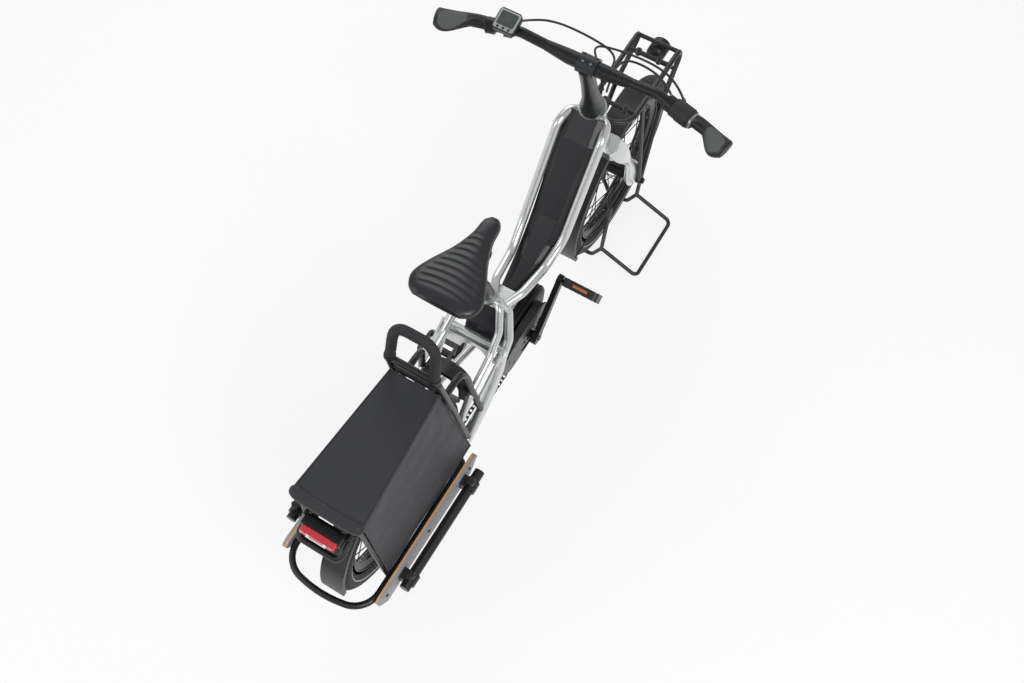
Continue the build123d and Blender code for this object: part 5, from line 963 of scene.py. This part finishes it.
@dataclass(frozen=True)
class Saddle:
    """Saddle cover with curved ribs across it and piping round its edge.

    Attributes:
        nose_mm: X of the nose.
        length_mm: length of the saddle.
        half_mm: half of its width.
        top_mm: height of its top.
        thick_mm: thickness of the CAD solid.
        ribs: number of ribs.
        relief_mm: height of a rib.
        rows: share of the length from the nose, then shares of width, thickness and drop there.
    """
    nose_mm: float = 421.0
    length_mm: float = 229.0
    half_mm: float = 80.0
    top_mm: float = 905.0
    thick_mm: float = 40.0
    ribs: int = 10
    relief_mm: float = 2.6

    rows = ((0.0, 0.13, 0.34, 0.16), (0.06, 0.24, 0.62, 0.02), (0.22, 0.3, 0.74, 0.02),
            (0.42, 0.5, 0.84, 0.04), (0.62, 0.8, 0.92, 0.02), (0.76, 0.97, 0.95, 0.0),
            (0.86, 1.0, 0.9, 0.0), (0.95, 0.88, 0.76, 0.04), (1.0, 0.68, 0.5, 0.14))

    def row(self, share: float) -> tuple[float, float, float]:
        """Half width, thickness and drop shares at a share of the length, on a smooth line."""
        shares = [r[0] for r in self.rows]
        number = max(n for n, s in enumerate(shares) if s <= share + 1e-9)
        if number == len(shares) - 1:
            return self.rows[-1][1:]
        start, end = self.rows[number], self.rows[number + 1]
        t = (share - start[0]) / (end[0] - start[0])
        before, after = self.rows[max(number - 1, 0)], self.rows[min(number + 2, len(shares) - 1)]
        values = []
        for k in (1, 2, 3):
            rise_in = (end[k] - before[k]) / max(end[0] - before[0], 1e-6) * (end[0] - start[0])
            rise_out = (after[k] - start[k]) / max(after[0] - start[0], 1e-6) * (end[0] - start[0])
            values.append((2 * t ** 3 - 3 * t * t + 1) * start[k] + (t ** 3 - 2 * t * t + t) * rise_in
                          + (3 * t * t - 2 * t ** 3) * end[k] + (t ** 3 - t * t) * rise_out)
        return values[0], values[1], values[2]

    def build(self) -> None:
        """Makes the ribbed cover and its piping."""
        rings, edge = [], {-1: [], 1: []}
        steps, sides = 150, 56
        for step in range(steps + 1):
            share = step / steps
            width, thick, drop = self.row(share)
            half = self.half_mm * width
            depth = self.thick_mm * thick / 2
            middle = self.top_mm - self.thick_mm * drop - depth
            x = self.nose_mm - self.length_mm * share
            ring = []
            for k in range(sides):
                angle = math.tau * k / sides
                wide, high = math.cos(angle), math.sin(angle)
                y = half * math.copysign(abs(wide) ** 0.86, wide)
                z = depth * math.copysign(abs(high) ** 0.74, high) * (1.0 if high > 0 else 0.8)
                across = min(abs(y) / max(half * 0.8, 1.0), 1.0)
                if high > 0.2 and 0.2 < share < 0.93 and across < 1.0:
                    phase = (share - 0.2) / 0.73 * self.ribs - 0.55 * across * across
                    turn = phase % 1.0
                    rib = min(1.0, turn * 1.15) ** 2.2 if turn < 0.87 else (1 - turn) / 0.13
                    fade = (min(1.0, (1.0 - across) * 5) * min(1.0, (share - 0.2) * 14)
                            * min(1.0, (0.93 - share) * 14))
                    z -= self.relief_mm * (1.0 - rib) * fade
                    z += self.relief_mm * 0.3 * fade
                ring.append(at(x, y, middle + z))
            rings.append(ring)
            for side in (-1, 1):
                edge[side].append(at(x, side * half * 0.985, middle - depth * 0.2))
        cover = Shell().skin(rings).piece("saddle_cover", "frame", SADDLE_SKIN, smooth_deg=60)
        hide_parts("saddle")
        welt = edge[-1][::3] + edge[1][::-3]
        Shell().skin(tube_rings(welt, lambda s, a: 1.5 * MM, 8, True), closed=True).piece(
            "saddle_piping", "frame", SADDLE_EDGE)
        LOG.info("saddle: ribbed cover and piping")


@dataclass(frozen=True)
class Cloth:
    """Cloth cover that is stretched over the passenger ring, with rolled and stitched edges.

    Attributes:
        top_front_mm: X, half width and height of the top's front corner.
        top_rear_mm: the same of its rear corner.
        hem_front_mm: the same of the hem's front corner.
        hem_rear_mm: the same of its rear corner.
        round_mm: radius of the edge between top and side.
        sag_mm: how far the top sinks between the tubes.
        roll_mm: radius of the rolled rear edge.
        reach: share of the length at which the sheet turns into the roll.
    """
    top_front_mm: tuple[float, float, float] = (102.0, 60.0, 699.0)
    top_rear_mm: tuple[float, float, float] = (-230.0, 84.0, 699.0)
    hem_front_mm: tuple[float, float, float] = (160.0, 110.0, 372.0)
    hem_rear_mm: tuple[float, float, float] = (-208.0, 110.0, 372.0)
    round_mm: float = 9.0
    sag_mm: float = 5.0
    roll_mm: float = 15.0
    reach: float = 0.965

    def point(self, along: float, across: float) -> Vector:
        """Place on the cloth: along from 0 at the front to 1, across from -1 at the right hem to 1."""
        side = -1 if across < 0 else 1
        reach = abs(across)
        corner = [a + (b - a) * along for a, b in zip(self.top_front_mm, self.top_rear_mm)]
        hem = [a + (b - a) * along for a, b in zip(self.hem_front_mm, self.hem_rear_mm)]
        start = self.round_mm / 70.0 * 0.3
        if reach < 0.3:
            share = reach / 0.3
            x, y, z = corner[0], corner[1] * share, corner[2]
            z -= self.sag_mm * math.sin(math.pi * min(along * 1.1, 1.0)) * (1 - share ** 2) * 0.9
        else:
            share = (reach - 0.3) / 0.7
            x = corner[0] + (hem[0] - corner[0]) * share
            y = corner[1] + (hem[1] - corner[1]) * share
            z = corner[2] + (hem[2] - corner[2]) * share
            y -= 4.0 * math.sin(math.pi * share) * math.sin(math.pi * along)
        near = max(0.0, 1.0 - abs(reach - 0.3) / start)
        z -= self.round_mm * 0.29 * near * near
        y -= self.round_mm * 0.2 * near * near
        pull = 1.2 * math.sin(along * 21.0 + reach * 5.0) * max(0.0, reach - 0.45) ** 2
        fold = noise.noise(Vector((x * 0.013, y * 0.012 * side, z * 0.02 + side * 3.0))) * 2.2
        fold += noise.noise(Vector((x * 0.05, y * 0.04, z * 0.05 + side * 9.0))) * 0.6
        return at(x, side * (y + (pull + fold * (1.0 if reach > 0.34 else 0.0))),
                  z + (fold * 0.7 if reach < 0.26 else 0.0))

    def build(self) -> None:
        """Makes the sheet, the rolled rear edge, the hems and the seams."""
        shares = sorted({round(s, 4) for s in
                         [k / 60 for k in range(-60, 61)] + [side * (0.3 + d) for side in (-1, 1) for d in
                                                             (-0.03, -0.02, -0.01, 0.0, 0.01, 0.02, 0.03)]})
        rows = [[self.point(step / 72 * self.reach, across) for across in shares] for step in range(73)]
        sheet = Shell().skin(rows, around=False, caps=False).piece(
            "cloth_cover", "frame", CLOTH, thickness=1.4, smooth_deg=70)
        roll_path = [at(-226.0 + 9.0 * (abs(y) / 88.0) ** 6, y, 692.0 - 1.5 * (1 - (y / 88.0) ** 2))
                     for y in range(-88, 89, 4)]
        roll = Shell().skin(tube_rings(roll_path, self.roll_radius, 24)).piece(
            "cloth_rear_roll", "frame", CLOTH_WELT, levels=1, smooth_deg=60)
        welts = Shell()
        hem = self.hem_seam(1.0)
        for path in (hem, [Vector((p.x, -p.y, p.z)) for p in hem],
                     [self.point(0.004, a / 40) for a in range(-40, 41)],
                     [self.point(k / 30 * self.reach, 0.3) + Vector((0, 0.6 * MM, 0.6 * MM))
                      for k in range(31)],
                     [self.point(k / 30 * self.reach, -0.3) + Vector((0, -0.6 * MM, 0.6 * MM))
                      for k in range(31)]):
            welts.skin(tube_rings(path, lambda s, a: 1.7 * MM, 8))
        welt = welts.piece("cloth_hems", "frame", CLOTH_WELT, smooth_deg=60)
        stitches = Shell()
        for side in (-1, 1):
            for line in (0.955, 0.32):
                path = smooth_path([self.point(k / 24 * self.reach, side * line)
                                    + Vector((0, side * 0.5 * MM, 0.2 * MM))
                                    for k in range(25)], 8)
                for number in range(0, len(path) - 2, 3):
                    stitches.skin(tube_rings(path[number:number + 3], lambda s, a: 0.45 * MM, 5))
        thread = stitches.piece("cloth_stitching", "frame", THREAD, smooth_deg=60)
        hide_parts("fabric_cover")
        LOG.info("cloth: cover, roll, hems and stitching")

    def roll_radius(self, share: float, angle: float) -> float:
        """Radius of the rolled edge, with round ends and gathered folds."""
        end = min(share, 1 - share) * 176.0 / self.roll_mm
        rounded = math.sqrt(max(0.0, 1 - max(0.0, 1 - end) ** 2)) if end < 1 else 1.0
        fold = 0.9 * noise.noise(Vector((share * 30.0, math.cos(angle) * 1.6, math.sin(angle) * 1.6)))
        return (max(self.roll_mm * rounded, 1.0) + fold * rounded) * MM

    def hem_seam(self, across: float) -> list[Vector]:
        """The line of the left hem from front to rear."""
        return [self.point(k / 40 * self.reach, across) for k in range(41)]


@dataclass(frozen=True)
class GrabHandle:
    """Grip tape wound round the grab handle.

    Attributes:
        radius_mm: radius over the tape.
        turns: number of turns of tape.
    """
    radius_mm: float = 12.0
    turns: float = 17.0

    def build(self) -> None:
        """Makes the wound handle over the CAD arch."""
        low, high = at(99.0, 54.0, 768.0), at(115.8, 48.0, 882.0)
        left = [low, low.lerp(high, 0.32), low.lerp(high, 0.62), at(113.5, 45.5, 862.0),
                at(115.5, 32.0, 878.0), at(115.8, 16.0, 882.0)]
        points = left + [at(115.8, 0.0, 882.0)] + [Vector((p.x, -p.y, p.z)) for p in reversed(left)]
        path = smooth_path(points, 14)

        def wound(share: float, angle: float) -> float:
            """Radius of the wound tape, which steps once a turn."""
            phase = (share * self.turns * 2 + angle / math.tau) % 1.0
            return (self.radius_mm - 1.3 + 1.2 * phase ** 0.5) * MM

        handle = Shell().skin(tube_rings(path, wound, 36)).piece(
            "grab_handle_wrap", "frame", HANDLE_FOAM, smooth_deg=70)
        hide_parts("grab_handle")
        ends = Shell()
        for side in (-1, 1):
            ends.skin(lathe_rings(at(99.0, side * 54.0, 768.0), Vector((0.1, side * -0.05, 1.0)),
                                  ((12.6, 0), (13.2, 1), (13.2, 9), (12.4, 10)), 28))
        ends.piece("grab_handle_rings", "frame", NYLON)
        LOG.info("grab handle: wound tape")


@dataclass(frozen=True)
class Cockpit:
    """Pads, collars and plugs on the grips, the display's face, and the stem's and levers' bolts.

    Attributes:
        grip_mm: radius of the grip.
        left_mm: length of the left grip.
        right_mm: length of the right grip.
        end: middle of the bar's left end.
        run: the bar's direction towards that end.
    """
    grip_mm: float = 16.0
    left_mm: float = 110.0
    right_mm: float = 88.56

    end = at(743.9, 334.0, 993.0)
    run = Vector((-0.2288, 0.9728, -0.0359)).normalized()

    def on_grip(self, back: float, side: int) -> Vector:
        """Point on the bar, measured inwards from its end."""
        place = self.end - self.run * (back * MM)
        return Vector((place.x, place.y * side, place.z))

    def palm(self, length: float, side: int) -> Shell:
        """Grey ribbed pad on the rear of a grip's palm rest."""
        rows = ((0.0, 1.0, 1.0, 0.0), (0.45, 1.0, 1.0, 0.0), (0.8, 1.7, 1.05, 0.75), (1.0, 1.45, 1.0, 0.5))
        run = Vector((self.run.x, self.run.y * side, self.run.z))
        back = Vector((-1, 0, 0))
        back = (back - run * back.dot(run)).normalized()
        up = Vector((0, 0, 1))
        up = (up - run * up.dot(run)).normalized()
        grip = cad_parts["grip_left" if side > 0 else "grip_right"]
        rings = []
        for step in range(45):
            share = 0.4 + 0.56 * step / 44
            number = 0 if share < 0.45 else 1 if share < 0.8 else 2
            start, finish = rows[number], rows[number + 1]
            t = (share - start[0]) / (finish[0] - start[0])
            depth, height, shift = [start[k] + (finish[k] - start[k]) * t for k in (1, 2, 3)]
            centre = self.on_grip(length * (1 - share), side) + back * (self.grip_mm * shift * MM)
            lift = 1.0 if step % 4 < 3 else 0.7
            lift *= min(1.0, min(step, 44 - step) / 3)
            wide = math.sin(math.pi * (0.12 + 0.76 * step / 44))
            ring = []
            for k in range(13):
                angle = math.radians(66 - 72 * wide + 144 * wide * k / 12)
                lip = lift * min(1.0, min(k, 12 - k) / 2)
                out = (back * (math.cos(angle) * depth) + up * (math.sin(angle) * height)).normalized()
                guess = centre + out * (self.grip_mm * depth * MM)
                hit, place, _, _ = grip.ray_cast(centre + out * (60.0 * MM), -out)
                ring.append((place if hit else guess) + out * ((lip - 0.25) * MM))
            rings.append(ring)
        return Shell().skin(rings, around=False, caps=False)

    def build(self, copies: Copies) -> None:
        """Makes the pads, collars, end plugs, display face and bolts."""
        for side, word, length in ((1, "left", self.left_mm), (-1, "right", self.right_mm)):
            self.palm(length, side).piece(f"grip_palm_pad_{word}", "steering", PALM_RUBBER, thickness=0.8,
                                          smooth_deg=30)
            run = Vector((self.run.x, self.run.y * side, self.run.z))
            collar = lathe_rings(self.on_grip(length + 1.0, side), run,
                                 ((16.2, -2.4), (17.4, -1.6), (17.4, 3.4), (16.4, 4.2)), 36)
            metal = STEEL if side < 0 else ALLOY_BLACK
            Shell().skin(collar, caps=False).piece(f"grip_collar_{word}", "steering", metal, thickness=0.8)
            plug = lathe_rings(self.on_grip(0.0, side), run,
                               ((9.0, 2.6), (9.0, 3.4), (7.6, 3.9), (3.0, 3.9)), 28)
            Shell().skin(plug).piece(f"grip_end_plug_{word}", "steering", ALLOY_BLACK)
        self.display(copies)
        self.stem(copies)
        LOG.info("cockpit: pads, collars, display glass and bolts")

    def display(self, copies: Copies) -> None:
        """Makes the display's glass, bezel and keys."""
        low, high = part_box("display")
        tilt = Matrix.Rotation(math.radians(-20.0), 4, "Y")
        centre = Vector(((low[0] + high[0]) / 2 - 0.0005, (low[1] + high[1]) / 2, high[2]))
        half_l, half_w = 24.0, 26.0
        rise = half_l * math.sin(math.radians(20.0)) + 7.0 * math.cos(math.radians(20.0))
        depth = half_l * math.cos(math.radians(20.0)) + 7.0 * math.sin(math.radians(20.0))
        middle = Vector((low[0] + depth * MM, centre.y, high[2] - rise * MM))

        def plate(wide: float, deep: float, near: float, thick: float, shift: float = 0.0) -> Shell:
            """Flat plate with round corners on the display's tilted face."""
            corners = []
            radius = min(wide, deep) * 0.22
            for sx, sy, first in ((1, 1, 0), (-1, 1, 90), (-1, -1, 180), (1, -1, 270)):
                for k in range(5):
                    angle = math.radians(first + 22.5 * k)
                    corners.append(Vector(((sx * (deep - radius) + radius * math.cos(angle) + shift) * MM,
                                           (sy * (wide - radius) + radius * math.sin(angle)) * MM,
                                           (7.0 + near) * MM)))
            return Shell().slab([middle + tilt @ c for c in corners], tilt @ Vector((0, 0, thick * MM)))

        plate(half_w - 2.0, half_l - 2.5, -0.2, 1.0).piece("display_bezel", "steering", BEZEL_GREY, bevel=0.4)
        plate(half_w - 6.5, half_l - 8.5, 0.7, 0.5, 2.5).piece("display_glass", "steering", LCD_GLASS)
        bars = Shell()
        for number, (wide, shift) in enumerate(((11.0, 10.0), (7.0, 4.5), (7.0, -0.5), (11.0, -6.0))):
            part = plate(wide, 0.7 if number in (0, 3) else 1.4, 1.2, 0.15, shift + 1.5)
            mesh = bpy.data.meshes.new("bar")
            part.bm.to_mesh(mesh)
            part.bm.free()
            bars.bm.from_mesh(mesh)
            bpy.data.meshes.remove(mesh)
        bars.piece("display_segments", "steering", LCD_MARK)
        keys = [facing(middle + tilt @ Vector((-18.0 * MM, y * MM, 7.6 * MM)), tilt @ Vector((0, 0, 1)), 2.6)
                for y in (-13.0, 0.0, 13.0)]
        copies.scatter("display_keys", "steering", knurled_knob(), keys, GRIP_RUBBER)

    def stem(self, copies: Copies) -> None:
        """Makes the clamp plate's bolts, the headset spacer and the lever bolts."""
        axis = Vector((-0.3502, 0.0, 0.9367))
        front = Vector((0.9367, 0.0, 0.3502))
        centre = at(789.9, 0.0, 986.5)
        bolts = [facing(centre + axis * (up * 14.5 * MM) + front * (15.0 * MM)
                        + Vector((0, side * 14.0 * MM, 0)),
                        front, 3.0) for up in (-1, 1) for side in (-1, 1)]
        bolts += [facing(centre + axis * (21.0 * MM) + Vector((0, y * MM, 0)) - front * (4.0 * MM), axis, 2.6)
                  for y in (-9.0, 9.0)]
        copies.scatter("stem_bolts", "steering", socket_bolt(), bolts, STEEL)
        spacer = lathe_rings(at(864.7, 0.0, 763.6), axis,
                             ((27.0, -1.0), (28.6, 0.0), (28.6, 3.0), (27.0, 4.0)), 48)
        Shell().skin(spacer, caps=False).piece("headset_ring", "frame", STEEL, thickness=1.0)
        levers = [facing(self.on_grip(back, side) + Vector((0.006, 0.0, 0.0155)), Vector((0.3, 0, 1)), 2.6)
                  for back, side in ((126.0, 1), (152.0, -1))]
        copies.scatter("lever_clamp_bolts", "steering", socket_bolt(), levers, STEEL)


@dataclass(frozen=True)
class Lamps:
    """Headlamp glass and reflector, and the tail lamp's ribbed lens."""

    def build(self, copies: Copies) -> None:
        """Makes both lamps' visible parts."""
        low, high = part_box("headlamp")
        front = Vector((high[0], 0.0, low[2] + 24.0 * MM))
        bezel = lathe_rings(front, Vector((1, 0, 0)),
                            ((22.0, -4.0), (24.3, -3.0), (24.3, 1.2), (22.6, 1.8), (21.0, 0.4)), 48)
        Shell().skin(bezel, caps=False).piece("headlamp_bezel", "steering", ALLOY_BLACK, thickness=0.5)
        dish = lathe_rings(front, Vector((1, 0, 0)), ((21.0, 0.6), (16.0, 0.3), (9.0, 0.15), (3.0, 0.1)), 40)
        Shell().skin(dish).piece("headlamp_reflector", "steering", CHROME)
        lens = lathe_rings(front, Vector((1, 0, 0)), ((21.4, 0.9), (18.0, 1.9), (12.0, 2.5), (5.0, 2.8)), 40)
        Shell().skin(lens).piece("headlamp_lens", "steering", LENS_CLEAR)
        low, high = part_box("tail_lamp")
        middle = Vector((low[0], 0.0, (low[2] + high[2]) / 2))
        rings = []
        for step in range(81):
            y = (step / 80 - 0.5) * 76.0
            rib = 0.7 * abs(math.sin(step * math.pi / 4))
            fall = 6.0 * max(0.0, abs(y) / 38.0 - 0.82)
            ring = []
            for k in range(9):
                up = (k / 8 - 0.5) * 18.0
                ring.append(middle + Vector(((-1.2 - rib + fall + 1.6 * (k / 4 - 1) ** 2) * MM, y * MM,
                                             up * MM)))
            rings.append(ring)
        shell = Shell().skin(rings, around=False, caps=False)
        for face in shell.bm.faces:
            where = abs(face.calc_center_median().y) / MM
            face.material_index = 1 if 17.0 < where < 25.0 else 0
        shell.piece("tail_lamp_lens", "frame", LENS_RED, LENS_CLEAR, thickness=1.0, smooth_deg=20)
        screws = [facing(at(-258.4, y, 618.0), Vector((-1, 0, 0)), 2.4) for y in (-45.0, 45.0)]
        copies.scatter("tail_lamp_screws", "frame", socket_bolt(), screws, STEEL)
        LOG.info("lamps: glass, reflector and lens")


@dataclass(frozen=True)
class Frame:
    """Bolts, knobs and weld beads on the frame, boards, racks and chain guard."""

    def weld(self, centre: Vector, axis: Vector, radius: float) -> list[list[Vector]]:
        """Rings of a rippled weld bead round a tube."""
        up = axis.normalized()
        across = up.orthogonal().normalized()
        other = up.cross(across)
        path = [centre + (across * math.cos(a) + other * math.sin(a)) * radius * MM
                for a in (math.tau * k / 90 for k in range(90))]
        return tube_rings(path, lambda s, a: (1.7 + 0.35 * math.sin(s * 90 * 2.0)) * MM, 8, True)

    def build(self, copies: Copies) -> None:
        """Makes the frame's small hardware."""
        collar = at(407.1, 0.0, 615.7)
        seat_axis = (collar - at(CRANK_X, 0.0, CRANK_Z)).normalized()
        beads = Shell()
        beads.skin(self.weld(collar - seat_axis * 0.03, seat_axis, 20.4), closed=True)
        for side in (-1, 1):
            beads.skin(self.weld(at(345.0, side * 68.0, 487.0), Vector((0, 1, 0)), 16.5), closed=True)
        beads.piece("weld_beads", "frame", FRAME_SILVER)
        bolts = [facing(at(x, side * 132.0, 343.0), Vector((0, side, 0)), 4.2)
                 for x in BOARD_X for side in (-1, 1)]
        copies.scatter("board_bolts", "frame", socket_bolt(), bolts, ALLOY_BLACK)
        small = [facing(at(392.0, 9.0, 560.0), Vector((-0.9, 0.3, 0.3)), 4.0),
                 facing(at(240.0, 26.0, 525.0), Vector((-0.2, 0.5, 0.9)), 3.4)]
        small += [facing(at(x, y, 633.2), Vector((0, 0, 1)), 3.4)
                  for x in (-230.0, 212.0) for y in (-40.0, 40.0)]
        copies.scatter("frame_bolts", "frame", socket_bolt(), small, STEEL)
        rack = [facing(at(959.3 + share * (1271.0 - 959.3), y, 632.5), Vector((0, 0, 1)), 4.6)
                for share in (0.16, 0.72) for y in (-28.0, 28.0)]
        copies.scatter("rack_boss_bolts", "steering", socket_bolt(), rack, ALLOY_BLACK)
        knobs = [facing(at(x, side * 155.0, 361.0), Vector((0, 0, 1)), 11.5)
                 for x in (-174.0, 86.0) for side in (-1, 1)]
        copies.scatter("foot_bar_knobs", "frame", knurled_knob(), knobs, NYLON)
        guard = [facing(at(x, -70.6, z), Vector((0, -1, 0)), 3.2)
                 for x, z in ((414.0, 324.0), (440.0, 366.0), (440.0, 284.0))]
        copies.scatter("guard_screws", "frame", socket_bolt(), guard, STEEL)
        LOG.info("frame: bolts, knobs and weld beads")


class Battery:
    """Fine seams along the bevels of the battery cover, each row a place along it and its half width."""

    rows = ((815.0, 47.5), (790.0, 51.0), (765.0, 49.5), (730.0, 45.0), (700.0, 44.0), (670.0, 42.5),
            (640.0, 40.5), (610.0, 37.5), (580.0, 34.0), (550.0, 29.0))

    def build(self) -> None:
        """Makes a fine seam along each bevel of the cover, found on the cover itself."""
        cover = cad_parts["battery_cover"]
        seams = Shell()
        for side in (-1, 1):
            for share in (0.6, 0.97):
                path = []
                for x, y in self.rows:
                    start = at(x, side * y * share, 800.0)
                    hit, place, normal, _ = cover.ray_cast(start, Vector((0, 0, -1)))
                    if hit:
                        path.append(place + normal * (0.25 * MM))
                if len(path) > 3:
                    seams.skin(tube_rings(smooth_path(path, 6), lambda s, a: 0.7 * MM, 8))
        seams.piece("battery_cover_seams", "frame", SEAM_BLACK)
        LOG.info("battery: seams on the cover")


def dress_nodes() -> None:
    """Gives every CAD node its finish."""
    for name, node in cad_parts.items():
        finish = NODE_FINISHES[name]
        node.data.materials.clear()
        node.data.materials.append(finish.material())


def main() -> None:
    """Builds the studio and every sub-assembly, in order."""
    logging.basicConfig(level=logging.INFO, format="%(message)s")
    Studio().build()
    dress_nodes()
    copies = Copies()
    Wheels().build(copies)
    Drive().build(copies)
    Hoses().build()
    MotorCasing().build(copies)
    Saddle().build()
    Cloth().build()
    GrabHandle().build()
    Cockpit().build(copies)
    Lamps().build(copies)
    Frame().build(copies)
    Battery().build()


if __name__ == "__main__":
    main()
